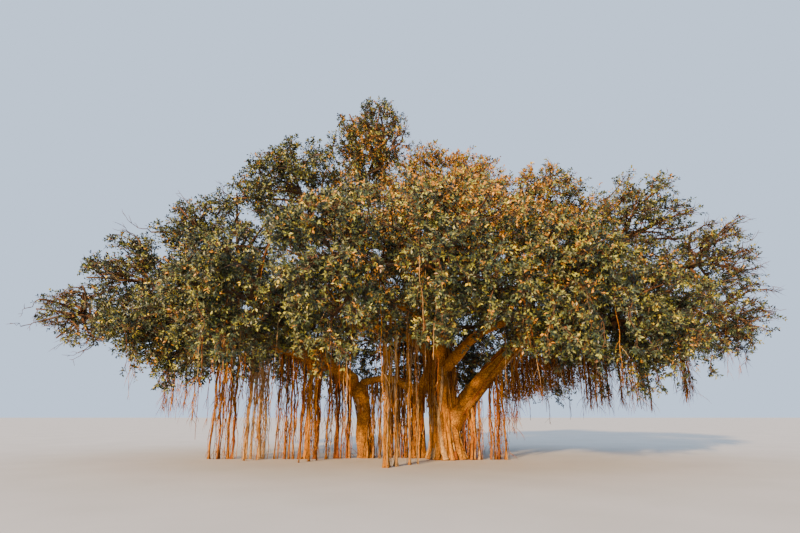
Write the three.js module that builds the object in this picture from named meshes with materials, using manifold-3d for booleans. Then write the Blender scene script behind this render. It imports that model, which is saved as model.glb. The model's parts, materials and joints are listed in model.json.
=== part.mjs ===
// Banyan tree: a fluted main trunk with two companion stems, long spreading boughs,
// aerial roots that hang or stand in rows under them, and a low wide crown of leafy masses.
// Millimetres, +Z up, +X to the right of the view and +Y away from it.
// The origin is the middle of the main trunk's flat foot, on level ground.
import * as THREE from "three";
import { mergeVertices } from "three/addons/utils/BufferGeometryUtils.js";
import Module from "manifold-3d";

const wasm = await Module();
wasm.setup();

// The gap between neighbouring solids, the share by which the trunk's copy grows for it, and the room
// that a leaf keeps to the edge of its space and to wood. Twigs keep twice the room, and hearts more.
const CLEARANCE = 0.4;
const GROWN_SHARE = 1.3;
const SPACE_ROOM = 60;
const HEART_ROOM = 180;
const WOOD_ROOM = 25;

// Main trunk: one column wrapped in grown-together roots, and how they spread at the foot.
const TRUNK_HEIGHT = 4400;
const TRUNK_BOW = 200;
const TRUNK_HEART_RADIUS = 420;
const FLUTES = 9;
const FLUTE_RADIUS = 165;
const FLUTE_REACH = 340;
const FOOT_SPREAD = 0.55;
const FOOT_HEIGHT = 550;
const TRUNK_SIDES = 26;
const TRUNK_LEVELS = [0, 200, 500, 1000, 1800, 3000, 4400];

// Limbs are many-sided tubes. A foot that stands on the ground widens over its last stretch.
const MAIN_SIDES = 8;
const MAIN_STEPS = 8;
const LIMB_SIDES = 6;
const LIMB_STEPS = 4;
const FOOT_FLARE = 1.45;
const FOOT_STRETCH = 260;

// Aerial roots: a runner that is thicker than its roots by a share, and how far each root sways from
// upright, how much the hanging tips differ in height, and how thin a hanging root is at its tip.
const STRAND_SIDES = 3;
const STRAND_SWAY = 110;
const STRAND_DROP = 700;
const STRAND_TIP = 0.4;
const RUNNER_STEPS = 3;
const RUNNER_SHARE = 1.3;
const RUNNER_GAP = 0.6;

// How far a joint between fused pieces may be smoothed: for aerial roots, and for leaves, where the
// first distance in the list that leaves a clean skin is taken. SAME_SPOT tells two corners apart, and
// FOLD_COSINE two faces that lie flat on each other.
const ROOT_SEAM = 6;
const LEAF_SEAMS = [22, 16, 11, 7, 3, 1];
const SAME_SPOT = 0.002;
const FOLD_COSINE = -0.9999999;

// A bough ends this far out from the middle of the space it feeds, as a share of the space's reach.
// The entry is looked for in this many steps along the way.
const DENSE_ENTRY = 0.92;
const OPEN_ENTRY = 0.6;
const ENTRY_STEPS = 200;

// The stem of a mass: its sides, its share of the bough's tip, how far it runs before it turns, and
// its share of the trunk and of the trunk's height where it grows out of the trunk itself.
const STEM_SIDES = 5;
const STEM_SHARE = 0.9;
const STEM_TAPER = 0.6;
const STEM_STRAIGHT = 220;
const TRUNK_STEM_SHARE = 0.25;
const TRUNK_STEM_PLACE = 0.9;

// The dense heart of a mass: how lumpy it is, and the least and the step that it is drawn in by.
const HEART_LUMPS = 0.26;
const HEART_LEAST = 0.15;
const HEART_STEP = 0.03;
const HEART_LEAVES = 7;
const HEART_LEAF_ROOT = 0.88;

// Twigs run from near the middle of a mass to a share of its reach, or to a little outside its heart,
// and are drawn in by steps where they would be blocked.
const DENSE_TWIGS = 4;
const OPEN_TWIGS = 8;
const TWIG_SIDES = 3;
const TWIG_RADIUS = 45;
const TWIG_TIP_RADIUS = 24;
const TWIG_ROOT = 0.35;
const TWIG_REACH = 0.8;
const TWIG_PROUD = 0.08;
const TWIG_LEAST = 0.15;
const TWIG_STEP = 0.05;
const TWIG_TILT = 1.6;
const TWIG_PROBES = [0.55, 0.8, 1];

// The leaves of a twig: how far along it each grows, and how far it turns to the side.
const TWIG_LEAVES = [
  { share: 1, turn: 0 },
  { share: 0.9, turn: 0.95 },
  { share: 0.78, turn: -0.85 },
];

// Leaves. Each is a blade that stands for a whole spray, and is tried in ever shorter sizes.
const LEAF_LENGTH = 1350;
const LEAF_SIZES = [1, 0.85, 0.7, 0.55];
const LEAF_WIDTH_SHARE = 0.56;
const LEAF_THICKNESS_SHARE = 0.05;
const LEAF_WIDEST = 0.56;
const LEAF_RIDGE = 0.5;
const LEAF_SUNK = 0.12;
const LEAF_PROBES = [0.15, 0.35, 0.56, 0.8, 1];

// Where the repeatable values of the root rows and of the masses start, and how far apart they are.
const ROOT_SEED = 20;
const LEAF_SEED = 100;
const SEED_STEP = 13;

const GOLDEN_ANGLE = Math.PI * (3 - Math.sqrt(5));
const UP = new THREE.Vector3(0, 0, 1);

const at = (x, y, z) => new THREE.Vector3(x, y, z);

// The point inside the tree that its masses face away from.
const CROWN_MIDDLE = at(-1500, 0, 4500);

// The spaces of the crown, as ellipsoids: the middle, the reach along each axis, and the share of
// that reach that a dense heart fills (0 where the mass is open).
const MASSES = [
  // The skyline, from the left tip over the top to the right tip.
  { name: "left_tip", middle: at(-15200, 0, 5700), reach: at(2200, 2200, 1500), heart: 0 },
  { name: "left_outer", middle: at(-12600, 0, 7100), reach: at(2700, 3300, 2000), heart: 0.76 },
  { name: "left_shoulder", middle: at(-9600, 0, 8800), reach: at(2800, 3500, 2100), heart: 0.8 },
  { name: "upper_left", middle: at(-6300, 200, 11200), reach: at(2900, 3400, 2200), heart: 0.82 },
  { name: "top", middle: at(-3100, 600, 13650), reach: at(1950, 2600, 2550), heart: 0.8 },
  { name: "upper_right", middle: at(300, 600, 11200), reach: at(3100, 3400, 2200), heart: 0.8 },
  { name: "right_shoulder", middle: at(4600, 400, 9700), reach: at(2600, 3300, 2100), heart: 0.78 },
  { name: "right_upper", middle: at(8400, 200, 9400), reach: at(2500, 3300, 2100), heart: 0.72 },
  { name: "right_outer", middle: at(11200, 0, 8000), reach: at(2100, 2800, 1900), heart: 0.64 },
  { name: "right_tip", middle: at(11100, -400, 5500), reach: at(2100, 2400, 1600), heart: 0 },
  // The lower skirt towards the viewer, from left to right.
  { name: "left_low", middle: at(-9600, -2400, 4700), reach: at(2900, 2700, 1500), heart: 0.76 },
  { name: "front_left", middle: at(-6900, -4800, 5500), reach: at(2600, 3000, 1700), heart: 0.8 },
  { name: "front_middle", middle: at(-3900, -5700, 6200), reach: at(2500, 3200, 2200), heart: 0.8 },
  { name: "front_centre", middle: at(-500, -5700, 6900), reach: at(2600, 3300, 2200), heart: 0.8 },
  { name: "front_right", middle: at(3100, -5500, 5700), reach: at(2500, 3100, 1900), heart: 0.8 },
  { name: "right_low", middle: at(6700, -3200, 5000), reach: at(2300, 2700, 1900), heart: 0.78 },
  // The far side, and the leaves behind the fork of the trunk.
  { name: "back_left_outer", middle: at(-12000, 5400, 6400), reach: at(3200, 3200, 2000), heart: 0.78 },
  { name: "back_left", middle: at(-6800, 5900, 6600), reach: at(3600, 3200, 3400), heart: 0.8 },
  { name: "back_middle", middle: at(-900, 6200, 8700), reach: at(3400, 3300, 3200), heart: 0.8 },
  { name: "back_right", middle: at(5200, 5500, 6200), reach: at(3700, 3200, 3400), heart: 0.78 },
  { name: "inner", middle: at(-400, 3000, 5500), reach: at(5600, 2200, 2000), heart: 0.7 },
];

// The stems that stand beside the trunk, and the bough that joins them.
const STEMS = [
  {
    name: "left_stem",
    through: [at(-3200, 600, 0), at(-3300, 550, 1500), at(-3600, 400, 2950)],
    thick: [230, 300],
    sides: MAIN_SIDES,
  },
  {
    name: "middle_stem",
    through: [at(-1050, 700, 0), at(-1000, 600, 2400), at(-350, 150, 4000)],
    thick: [230, 170],
    sides: LIMB_SIDES,
  },
  {
    name: "cross_bough",
    through: [at(-950, 550, 2500), at(-2100, 500, 3050), at(-3500, 420, 2900)],
    thick: [170, 130],
    sides: LIMB_SIDES,
  },
];

// Boughs, each from a share of the way along another limb to the mass that it is named for.
// bend is how far its middle stands off the straight line, and thick its radius at each end.
const BOUGHS = [
  { name: "top", from: "trunk", share: 1, via: [at(100, 0, 6500), at(-1500, 400, 10000)], thick: [380, 110] },
  {
    name: "right_outer",
    from: "trunk",
    share: 0.52,
    via: [at(1820, -300, 3350), at(2900, -400, 4400), at(6000, 0, 6300)],
    thick: [370, 120],
  },
  {
    name: "left_tip",
    from: "left_stem",
    share: 0.97,
    via: [at(-5100, 0, 3750), at(-7600, 0, 4500), at(-10400, 0, 4450), at(-12500, 0, 4850)],
    thick: [290, 90],
  },
  { name: "upper_left", from: "top", share: 0.42, bend: at(-200, 0, 300), thick: [210, 110] },
  { name: "upper_right", from: "top", share: 0.16, bend: at(1200, 0, 0), thick: [260, 120] },
  { name: "right_shoulder", from: "upper_right", share: 0.3, bend: at(300, 0, -200), thick: [190, 110] },
  { name: "right_upper", from: "right_outer", share: 0.55, bend: at(300, 0, -200), thick: [190, 100] },
  { name: "right_tip", from: "right_outer", share: 0.68, bend: at(200, 0, 100), thick: [150, 70] },
  { name: "right_low", from: "right_outer", share: 0.42, bend: at(0, -100, 250), thick: [180, 110] },
  { name: "back_right", from: "right_outer", share: 0.5, bend: at(0, 200, 400), thick: [200, 110] },
  { name: "left_shoulder", from: "left_tip", share: 0.16, bend: at(-200, 0, 400), thick: [220, 120] },
  { name: "left_outer", from: "left_tip", share: 0.55, bend: at(-300, 0, 200), thick: [170, 100] },
  { name: "left_low", from: "left_tip", share: 0.3, bend: at(0, 0, 150), thick: [150, 90] },
  { name: "front_left", from: "left_tip", share: 0.1, bend: at(0, 0, 300), thick: [190, 110] },
  { name: "back_left_outer", from: "left_tip", share: 0.45, bend: at(0, 0, 400), thick: [180, 110] },
  { name: "front_centre", from: "trunk", share: 0.93, bend: at(0, 0, 300), thick: [260, 120] },
  { name: "front_middle", from: "front_centre", share: 0.35, bend: at(0, 0, 200), thick: [180, 110] },
  { name: "front_right", from: "trunk", share: 0.86, bend: at(0, 0, 350), thick: [230, 120] },
  { name: "back_left", from: "trunk", share: 0.95, bend: at(0, 0, 500), thick: [260, 120] },
  { name: "back_middle", from: "trunk", share: 0.97, bend: at(0, 0, 500), thick: [260, 120] },
];

// Rows of aerial roots under a bough: x is the middle of the row, half its half length, and low the
// height of the tips (0 where they have rooted and stand). drift moves the feet sideways on the way down.
const ROOT_ROWS = [
  { name: "far_left", from: "left_tip", x: -10700, half: 750, strands: 4, thick: 32, low: 1350 },
  { name: "left_screen", from: "left_tip", x: -8800, half: 500, strands: 5, thick: 42, low: 0 },
  { name: "left_posts", from: "left_tip", x: -7500, half: 430, strands: 4, thick: 62, low: 0 },
  { name: "left_cords", from: "left_tip", x: -6300, half: 350, strands: 4, thick: 38, low: 0 },
  { name: "left_pillars", from: "left_tip", x: -5350, half: 330, strands: 5, thick: 70, low: 0 },
  { name: "stem_side", from: "left_tip", x: -4450, half: 260, strands: 3, thick: 55, low: 0 },
  { name: "pale_ropes", from: "front_middle", x: -2250, half: 300, strands: 4, thick: 52, low: 0 },
  { name: "middle_ropes", from: "cross_bough", x: -1950, half: 420, strands: 5, thick: 42, low: 0 },
  {
    name: "trunk_side",
    from: "right_outer",
    x: 1050,
    half: 330,
    strands: 5,
    thick: 60,
    low: 0,
    drift: at(-60, -250, 0),
  },
  { name: "right_pillars", from: "right_outer", x: 1950, half: 300, strands: 4, thick: 50, low: 0 },
  { name: "near_curtain", from: "right_outer", x: 3300, half: 600, strands: 5, thick: 50, low: 2200 },
  { name: "middle_curtain", from: "right_outer", x: 4700, half: 700, strands: 5, thick: 55, low: 2600 },
  { name: "right_curtain", from: "right_outer", x: 6100, half: 450, strands: 5, thick: 55, low: 1800 },
  { name: "far_curtain", from: "right_outer", x: 7700, half: 650, strands: 5, thick: 50, low: 1700 },
  { name: "far_right", from: "right_tip", x: 9600, half: 280, strands: 3, thick: 45, low: 2100 },
];

// A repeatable value from 0 to 1 for each whole number and seed.
function chance(index, seed) {
  const wave = Math.sin(index * 12.9898 + seed * 78.233) * 43758.5453;
  return wave - Math.floor(wave);
}

// A closed solid from its corners and its triangles, which run counter-clockwise seen from outside.
function solidFrom(corners, triangles) {
  const vertProperties = new Float32Array(corners.flatMap((corner) => corner.toArray()));
  const triVerts = new Uint32Array(triangles.flat());
  return new wasm.Manifold(new wasm.Mesh({ numProp: 3, vertProperties, triVerts }));
}

// Triangles that close a stack of rings with the same number of corners, first ring lowest.
function skinOfRings(ringCount, sides) {
  const triangles = [];
  for (let ring = 0; ring + 1 < ringCount; ring += 1) {
    for (let side = 0; side < sides; side += 1) {
      const a = ring * sides + side;
      const b = ring * sides + ((side + 1) % sides);
      triangles.push([a, b, b + sides], [a, b + sides, a + sides]);
    }
  }
  const last = (ringCount - 1) * sides;
  for (let side = 1; side + 1 < sides; side += 1) {
    triangles.push([0, side + 1, side], [last, last + side, last + side + 1]);
  }
  return triangles;
}

// The main trunk at a height: the distance from its axis to the bark at each bearing. It is a
// rounded outline over the heart column and the roots that have grown on to it, which move out and
// thicken towards the ground.
function barkDistance(bearing, height) {
  const foot = Math.exp(-height / FOOT_HEIGHT);
  let total = TRUNK_HEART_RADIUS ** FLUTES;
  for (let flute = 0; flute < FLUTES; flute += 1) {
    const direction = ((flute + 0.5 * chance(flute, 3)) * 2 * Math.PI) / FLUTES;
    const out = FLUTE_REACH * (0.85 + 0.3 * chance(flute, 5)) * (1 + FOOT_SPREAD * foot);
    const radius = FLUTE_RADIUS * (0.8 + 0.5 * chance(flute, 7)) * (1 + FOOT_SPREAD * foot);
    const across = Math.abs(out * Math.sin(bearing - direction));
    if (across < radius && Math.cos(bearing - direction) > 0) {
      const far = out * Math.cos(bearing - direction) + Math.sqrt(radius ** 2 - across ** 2);
      total += far ** FLUTES;
    }
  }
  return total ** (1 / FLUTES);
}

// The trunk's axis bows a little to the left on its way up.
function trunkAxis(height) {
  const rise = Math.min(height / TRUNK_HEIGHT, 1);
  return at(-TRUNK_BOW * Math.sin((rise * Math.PI) / 2), 0, height);
}

function trunkSolid(extra) {
  const corners = TRUNK_LEVELS.flatMap((level, index) => {
    const lift = index === 0 ? -extra : index === TRUNK_LEVELS.length - 1 ? extra : 0;
    return Array.from({ length: TRUNK_SIDES }, (_, side) => {
      const bearing = (side * 2 * Math.PI) / TRUNK_SIDES;
      const distance = barkDistance(bearing, level) + extra * GROWN_SHARE;
      const axis = trunkAxis(level);
      const out = at(Math.cos(bearing), Math.sin(bearing), 0).multiplyScalar(distance);
      return out.add(axis).setZ(level + lift);
    });
  });
  return solidFrom(corners, skinOfRings(TRUNK_LEVELS.length, TRUNK_SIDES));
}

// Whether a direction runs nearer to upright than to level.
function isSteep(direction) {
  return Math.abs(direction.z) > 0.8;
}

// A closed tube through points, with a radius at each, whose rings keep from twisting along it.
function tubeSolid(points, radii, sides, extra = 0) {
  const grown = extra / Math.cos(Math.PI / sides);
  const last = points.length - 1;
  let across = null;
  const corners = points.flatMap((point, index) => {
    const before = points[Math.max(index - 1, 0)];
    const along = points[Math.min(index + 1, last)].clone().sub(before).normalize();
    const guide = across ?? (isSteep(along) ? at(1, 0, 0) : UP);
    across = guide.clone().addScaledVector(along, -guide.dot(along)).normalize();
    const third = along.clone().cross(across);
    const push = index === 0 ? -extra : index === last ? extra : 0;
    const middle = point.clone().addScaledVector(along, push);
    return Array.from({ length: sides }, (_, side) => {
      const angle = (side * 2 * Math.PI) / sides;
      return middle
        .clone()
        .addScaledVector(across, (radii[index] + grown) * Math.cos(angle))
        .addScaledVector(third, (radii[index] + grown) * Math.sin(angle));
    });
  });
  return solidFrom(corners, skinOfRings(points.length, sides));
}

// The largest body of a solid, without loose scraps and sealed hollows.
function largestBody(solid) {
  const bodies = solid.decompose();
  return bodies.reduce((best, body) => (body.volume() > best.volume() ? body : best));
}

// Several solids joined into one, with the small facets along their joints smoothed.
function fused(pieces, seam) {
  return pieces.reduce((all, one) => all.add(one)).asOriginal().simplify(seam);
}

// Whether a solid's skin touches itself along an edge, so that more than two faces meet there.
function touchesItself(solid) {
  const { vertProperties, triVerts } = solid.getMesh();
  const spots = Array.from({ length: vertProperties.length / 3 }, (_, vertex) => {
    const place = vertProperties.subarray(vertex * 3, vertex * 3 + 3);
    return Array.from(place, (value) => Math.round(value / SAME_SPOT)).join();
  });
  const edges = new Set();
  for (let index = 0; index < triVerts.length; index += 3) {
    const face = [0, 1, 2].map((corner) => spots[triVerts[index + corner]]);
    if (new Set(face).size < 3) continue;
    for (const corner of [0, 1, 2]) {
      const edge = face[corner] + " to " + face[(corner + 1) % 3];
      if (edges.has(edge)) return true;
      edges.add(edge);
    }
  }
  return false;
}

// Whether two faces that share an edge lie flat against each other, so that nothing is between them.
function isFolded(solid) {
  const { vertProperties, triVerts } = solid.getMesh();
  const cornerOf = (vertex) => new THREE.Vector3().fromArray(vertProperties, vertex * 3);
  const facing = new Map();
  for (let index = 0; index < triVerts.length; index += 3) {
    const vertices = [0, 1, 2].map((corner) => triVerts[index + corner]);
    const [a, b, c] = vertices.map(cornerOf);
    const normal = b.sub(a).cross(c.sub(a)).normalize();
    vertices.forEach((vertex, corner) => {
      facing.set(vertex + " to " + vertices[(corner + 1) % 3], normal);
    });
  }
  return Array.from(facing).some(([edge, normal]) => {
    const across = facing.get(edge.split(" to ").reverse().join(" to "));
    return across !== undefined && normal.dot(across) < FOLD_COSINE;
  });
}

function boxesMeet(one, other) {
  const a = one.boundingBox();
  const b = other.boundingBox();
  return [0, 1, 2].every((axis) => a.min[axis] < b.max[axis] && b.min[axis] < a.max[axis]);
}

// Finished wood, in the order it grows. Each limb is cut clear of every limb before it.
const wood = new Map();

function cutClear(solid) {
  let left = solid;
  for (const limb of wood.values()) {
    if (boxesMeet(left, limb.grown)) left = left.subtract(limb.grown);
  }
  return largestBody(left);
}

// A limb made of one or more tubes, each a route of points with a radius at each point. Its seam is
// how far the joints between its tubes may be smoothed, which its neighbours keep clear of too.
function addLimb(name, routes, sides, seam = 0) {
  const tubes = (extra) => routes.map((route) => tubeSolid(route.points, route.radii, sides, extra));
  const grown = tubes(CLEARANCE + seam).reduce((all, one) => all.add(one));
  const solid = routes.length > 1 ? fused(tubes(0), seam) : tubes(0)[0];
  wood.set(name, { routes, solid: cutClear(solid), grown });
}

function addTrunk() {
  const points = TRUNK_LEVELS.map(trunkAxis);
  const radii = TRUNK_LEVELS.map((level) => barkDistance(0, level));
  wood.set("trunk", { routes: [{ points, radii }], solid: trunkSolid(0), grown: trunkSolid(CLEARANCE) });
}

// The point, radius and direction a share of the way along a limb's first route.
function pointAlong(name, share) {
  const { points, radii } = wood.get(name).routes[0];
  const place = Math.min(share, 1) * (points.length - 1);
  const index = Math.min(Math.floor(place), points.length - 2);
  const rest = place - index;
  return {
    point: points[index].clone().lerp(points[index + 1], rest),
    radius: THREE.MathUtils.lerp(radii[index], radii[index + 1], rest),
    along: points[index + 1].clone().sub(points[index]).normalize(),
  };
}

// A smooth tapering route through points. A foot on the ground starts upright and flared.
function taperedRoute(through, thick, steps) {
  const curve = new THREE.CatmullRomCurve3(through, false, "centripetal");
  const points = curve.getSpacedPoints(steps);
  const radii = points.map((_, index) => THREE.MathUtils.lerp(thick[0], thick[1], index / steps));
  if (points[0].z === 0) {
    points.splice(1, 0, points[0].clone().setZ(FOOT_STRETCH));
    radii.splice(1, 0, radii[0]);
    radii[0] *= FOOT_FLARE;
  }
  return { points, radii };
}

// Distance of a point from the heart of a space, where 1 is the space's edge.
function spaceDistance(point, mass) {
  return point.clone().sub(mass.middle).divide(mass.reach).length();
}

// Whether a point lies in a mass's own space, with room to every neighbouring space.
function inOwnSpace(point, mass, room) {
  const own = spaceDistance(point, mass);
  if (own > 1.001) return false;
  return MASSES.every((other) => {
    if (other === mass) return true;
    const size = Math.min(other.reach.x, other.reach.y, other.reach.z);
    return (spaceDistance(point, other) - own) * size > room;
  });
}

// The distance from a point to the nearest wood, leaving out the bough that a mass grows from.
function woodDistance(point, bough) {
  let nearest = Infinity;
  const onLine = new THREE.Vector3();
  const line = new THREE.Line3();
  for (const [name, limb] of wood) {
    if (name === bough) continue;
    for (const { points, radii } of limb.routes) {
      for (let index = 0; index + 1 < points.length; index += 1) {
        line.set(points[index], points[index + 1]);
        line.closestPointToPoint(point, true, onLine);
        const radius = Math.max(radii[index], radii[index + 1]);
        nearest = Math.min(nearest, onLine.distanceTo(point) - radius);
      }
    }
  }
  return nearest;
}

// Where a straight line from a start to the heart of a mass enters the part of its space that it feeds.
function entryPoint(start, mass) {
  const edge = mass.heart > 0 ? DENSE_ENTRY : OPEN_ENTRY;
  for (let step = 0; step <= ENTRY_STEPS; step += 1) {
    const point = start.clone().lerp(mass.middle, step / ENTRY_STEPS);
    if (spaceDistance(point, mass) <= edge && inOwnSpace(point, mass, 0)) return point;
  }
  return mass.middle.clone();
}

function addStems() {
  for (const { name, through, thick, sides } of STEMS) {
    addLimb(name, [taperedRoute(through, thick, LIMB_STEPS)], sides);
  }
}

function addBoughs() {
  for (const row of BOUGHS) {
    const mass = MASSES.find((each) => each.name === row.name);
    const parent = wood.has(row.from) ? row.from : "bough_" + row.from;
    const start = pointAlong(parent, row.share).point;
    const entry = entryPoint(row.via ? row.via.at(-1) : start, mass);
    const middle = row.via ?? [start.clone().lerp(entry, 0.5).add(row.bend)];
    const steps = row.via ? MAIN_STEPS : LIMB_STEPS;
    const sides = row.via ? MAIN_SIDES : LIMB_SIDES;
    addLimb("bough_" + row.name, [taperedRoute([start, ...middle, entry], row.thick, steps)], sides);
  }
}

// The share of a limb's length at which it passes nearest to a given x.
function shareAtX(name, x) {
  const shares = Array.from({ length: 101 }, (_, index) => index / 100);
  const off = (share) => Math.abs(pointAlong(name, share).point.x - x);
  return shares.reduce((best, share) => (off(share) < off(best) ? share : best));
}

// The point a given distance straight down from a bough's bark at a given x.
function pointUnder(parent, x, outside) {
  const { point, radius, along } = pointAlong(parent, shareAtX(parent, x));
  return point.setZ(point.z - (radius + outside) / Math.hypot(along.x, along.y));
}

// One aerial root, from the runner under its bough down to its tip or to its foot on the ground.
function strandRoute(row, parent, strand, seed) {
  const place = (strand + 0.5 + 0.5 * (chance(strand, seed) - 0.5)) / row.strands;
  const top = pointUnder(parent, row.x + (2 * place - 1) * row.half, row.thick * RUNNER_GAP);
  const rooted = row.low === 0;
  const low = rooted ? 0 : row.low + STRAND_DROP * chance(strand, seed + 1);
  const thick = row.thick * (0.75 + 0.5 * chance(strand, seed + 2));
  const spot = (rest) => {
    const sway = at(chance(strand, seed + 3 + rest) - 0.5, chance(strand, seed + 5 + rest) - 0.5, 0);
    const aside = sway.multiplyScalar(2 * STRAND_SWAY).add(row.drift ?? at(0, 0, 0));
    return at(top.x, top.y, THREE.MathUtils.lerp(low, top.z, rest)).addScaledVector(aside, 1 - rest);
  };
  const tip = spot(0);
  if (!rooted) return { points: [top, spot(0.5), tip], radii: [thick, thick * 0.9, thick * STRAND_TIP] };
  const ankle = tip.clone().setZ(FOOT_STRETCH);
  return {
    points: [top, spot(0.5), ankle, tip],
    radii: [thick, thick * 0.9, thick * 0.9, thick * FOOT_FLARE],
  };
}

// The runner that creeps along the underside of the bough and carries the row's roots.
function runnerRoute(row, parent) {
  const half = row.half + row.thick;
  const points = Array.from({ length: RUNNER_STEPS + 1 }, (_, step) => {
    const x = row.x + ((2 * step) / RUNNER_STEPS - 1) * half;
    return pointUnder(parent, x, row.thick * RUNNER_GAP);
  });
  return { points, radii: points.map(() => row.thick * RUNNER_SHARE) };
}

function addRootRows() {
  ROOT_ROWS.forEach((row, index) => {
    const parent = wood.has(row.from) ? row.from : "bough_" + row.from;
    const strands = Array.from({ length: row.strands }, (_, strand) => {
      return strandRoute(row, parent, strand, ROOT_SEED + index * SEED_STEP);
    });
    addLimb("roots_" + row.name, [runnerRoute(row, parent), ...strands], STRAND_SIDES, ROOT_SEAM);
  });
}

// A leaf blade of eight faces: base, tip, two edges, and a low ridge on each side.
const LEAF_FACES = [
  [0, 4, 2],
  [2, 4, 1],
  [1, 4, 3],
  [3, 4, 0],
  [2, 5, 0],
  [1, 5, 2],
  [3, 5, 1],
  [0, 5, 3],
];

function leafCorners(base, along, across, length) {
  const normal = along.clone().cross(across).normalize();
  const half = (length * LEAF_WIDTH_SHARE) / 2;
  const ridge = (length * LEAF_THICKNESS_SHARE) / 2;
  const spot = (share, side, lift) => {
    return base
      .clone()
      .addScaledVector(along, length * share)
      .addScaledVector(across, side)
      .addScaledVector(normal, lift);
  };
  return [
    spot(0, 0, 0),
    spot(1, 0, 0),
    spot(LEAF_WIDEST, half, 0),
    spot(LEAF_WIDEST, -half, 0),
    spot(LEAF_RIDGE, 0, ridge),
    spot(LEAF_RIDGE, 0, -ridge),
  ];
}

// Directions spread evenly by the golden angle round an axis, the axis itself first.
function spreadDirections(axis, count) {
  const guide = isSteep(axis) ? at(0, 1, 0) : UP;
  const across = new THREE.Vector3().crossVectors(axis, guide).normalize();
  const third = axis.clone().cross(across);
  return Array.from({ length: count }, (_, index) => {
    const height = 1 - (2 * index) / count;
    const level = Math.sqrt(Math.max(0, 1 - height * height));
    const turn = index * GOLDEN_ANGLE;
    return axis
      .clone()
      .multiplyScalar(height)
      .addScaledVector(across, level * Math.cos(turn))
      .addScaledVector(third, level * Math.sin(turn));
  });
}

// The point in a space that lies in a direction from its middle, at a share of its reach.
function pointInSpace(mass, direction, share) {
  return direction.clone().multiply(mass.reach).multiplyScalar(share).add(mass.middle);
}

// The dense heart of a mass: a lumpy ball, drawn in wherever it would leave its space or near wood.
function heartSolid(mass, seed, bough) {
  const ball = new THREE.IcosahedronGeometry(1, 1);
  ball.deleteAttribute("normal");
  ball.deleteAttribute("uv");
  const merged = mergeVertices(ball);
  const places = merged.getAttribute("position");
  const corners = Array.from({ length: places.count }, (_, index) => {
    const direction = new THREE.Vector3().fromBufferAttribute(places, index);
    let share = mass.heart * (1 + HEART_LUMPS * (chance(index, seed) - 0.5));
    const blocked = () => {
      const corner = pointInSpace(mass, direction, share);
      return !inOwnSpace(corner, mass, HEART_ROOM) || woodDistance(corner, bough) < WOOD_ROOM;
    };
    while (share > HEART_LEAST && blocked()) share -= HEART_STEP;
    return pointInSpace(mass, direction, share);
  });
  const order = merged.getIndex().array;
  const triangles = Array.from({ length: order.length / 3 }, (_, index) => [
    ...order.subarray(index * 3, index * 3 + 3),
  ]);
  return solidFrom(corners, triangles);
}

// How far it is from a point inside a space to its edge in a direction.
function distanceToEdge(point, direction, mass) {
  const from = point.clone().sub(mass.middle).divide(mass.reach);
  const step = direction.clone().divide(mass.reach);
  const a = step.lengthSq();
  const b = from.dot(step);
  return (Math.sqrt(Math.max(0, b * b - a * (from.lengthSq() - 1))) - b) / a;
}

// Whether a blade keeps clear of wood, tested along its middle with the half width that it has there.
function bladeIsClear(base, along, length, bough) {
  return LEAF_PROBES.every((share) => {
    const narrowing = 1 - Math.abs(share - LEAF_WIDEST) / LEAF_WIDEST;
    const half = (length * LEAF_WIDTH_SHARE * narrowing) / 2;
    const probe = base.clone().addScaledVector(along, length * share);
    return woodDistance(probe, bough) > half + WOOD_ROOM;
  });
}

// A leaf that grows from a stalk point in a direction, as long as its space and nearby wood allow,
// or nothing where even a short one would not fit.
function fittedLeaf(stalk, along, across, mass, bough) {
  const longest = Math.min(LEAF_LENGTH, distanceToEdge(stalk, along, mass) / (1 - LEAF_SUNK));
  for (const size of LEAF_SIZES) {
    const length = longest * size;
    const base = stalk.clone().addScaledVector(along, -length * LEAF_SUNK);
    const corners = leafCorners(base, along, across, length);
    const inside = corners.every((corner) => inOwnSpace(corner, mass, SPACE_ROOM));
    if (inside && bladeIsClear(base, along, length, bough)) return [solidFrom(corners, LEAF_FACES)];
  }
  return [];
}

// A twig with its leaves, one on from its tip and one to each side of it, or nothing where wood or
// a neighbouring space leaves no room for it.
function fittedTwig(mass, direction, index, seed, bough) {
  const start = mass.heart > 0 ? TWIG_ROOT : 0;
  const least = start + TWIG_LEAST;
  const reach = mass.heart > 0 ? mass.heart + TWIG_PROUD : TWIG_REACH;
  let share = reach * (0.94 + 0.12 * chance(index, seed));
  const blocked = () => {
    const probes = TWIG_PROBES.map((rest) => pointInSpace(mass, direction, share * rest));
    const inside = probes.every((probe) => inOwnSpace(probe, mass, 2 * SPACE_ROOM));
    return !inside || probes.some((probe) => woodDistance(probe, bough) < 2 * WOOD_ROOM);
  };
  while (share > least && blocked()) share -= TWIG_STEP;
  if (share <= least) return [];
  const root = pointInSpace(mass, direction, start);
  const tip = pointInSpace(mass, direction, share);
  const along = tip.clone().sub(root).normalize();
  const flat = new THREE.Vector3().crossVectors(along, UP).normalize();
  const normal = along.clone().cross(flat);
  normal.applyAxisAngle(along, (chance(index, seed + 1) - 0.5) * TWIG_TILT);
  const leaves = TWIG_LEAVES.flatMap(({ share: place, turn }) => {
    const way = along.clone().applyAxisAngle(normal, turn);
    const across = new THREE.Vector3().crossVectors(normal, way).normalize();
    return fittedLeaf(root.clone().lerp(tip, place), way, across, mass, bough);
  });
  return [tubeSolid([root, tip], [TWIG_RADIUS, TWIG_TIP_RADIUS], TWIG_SIDES), ...leaves];
}

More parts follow.
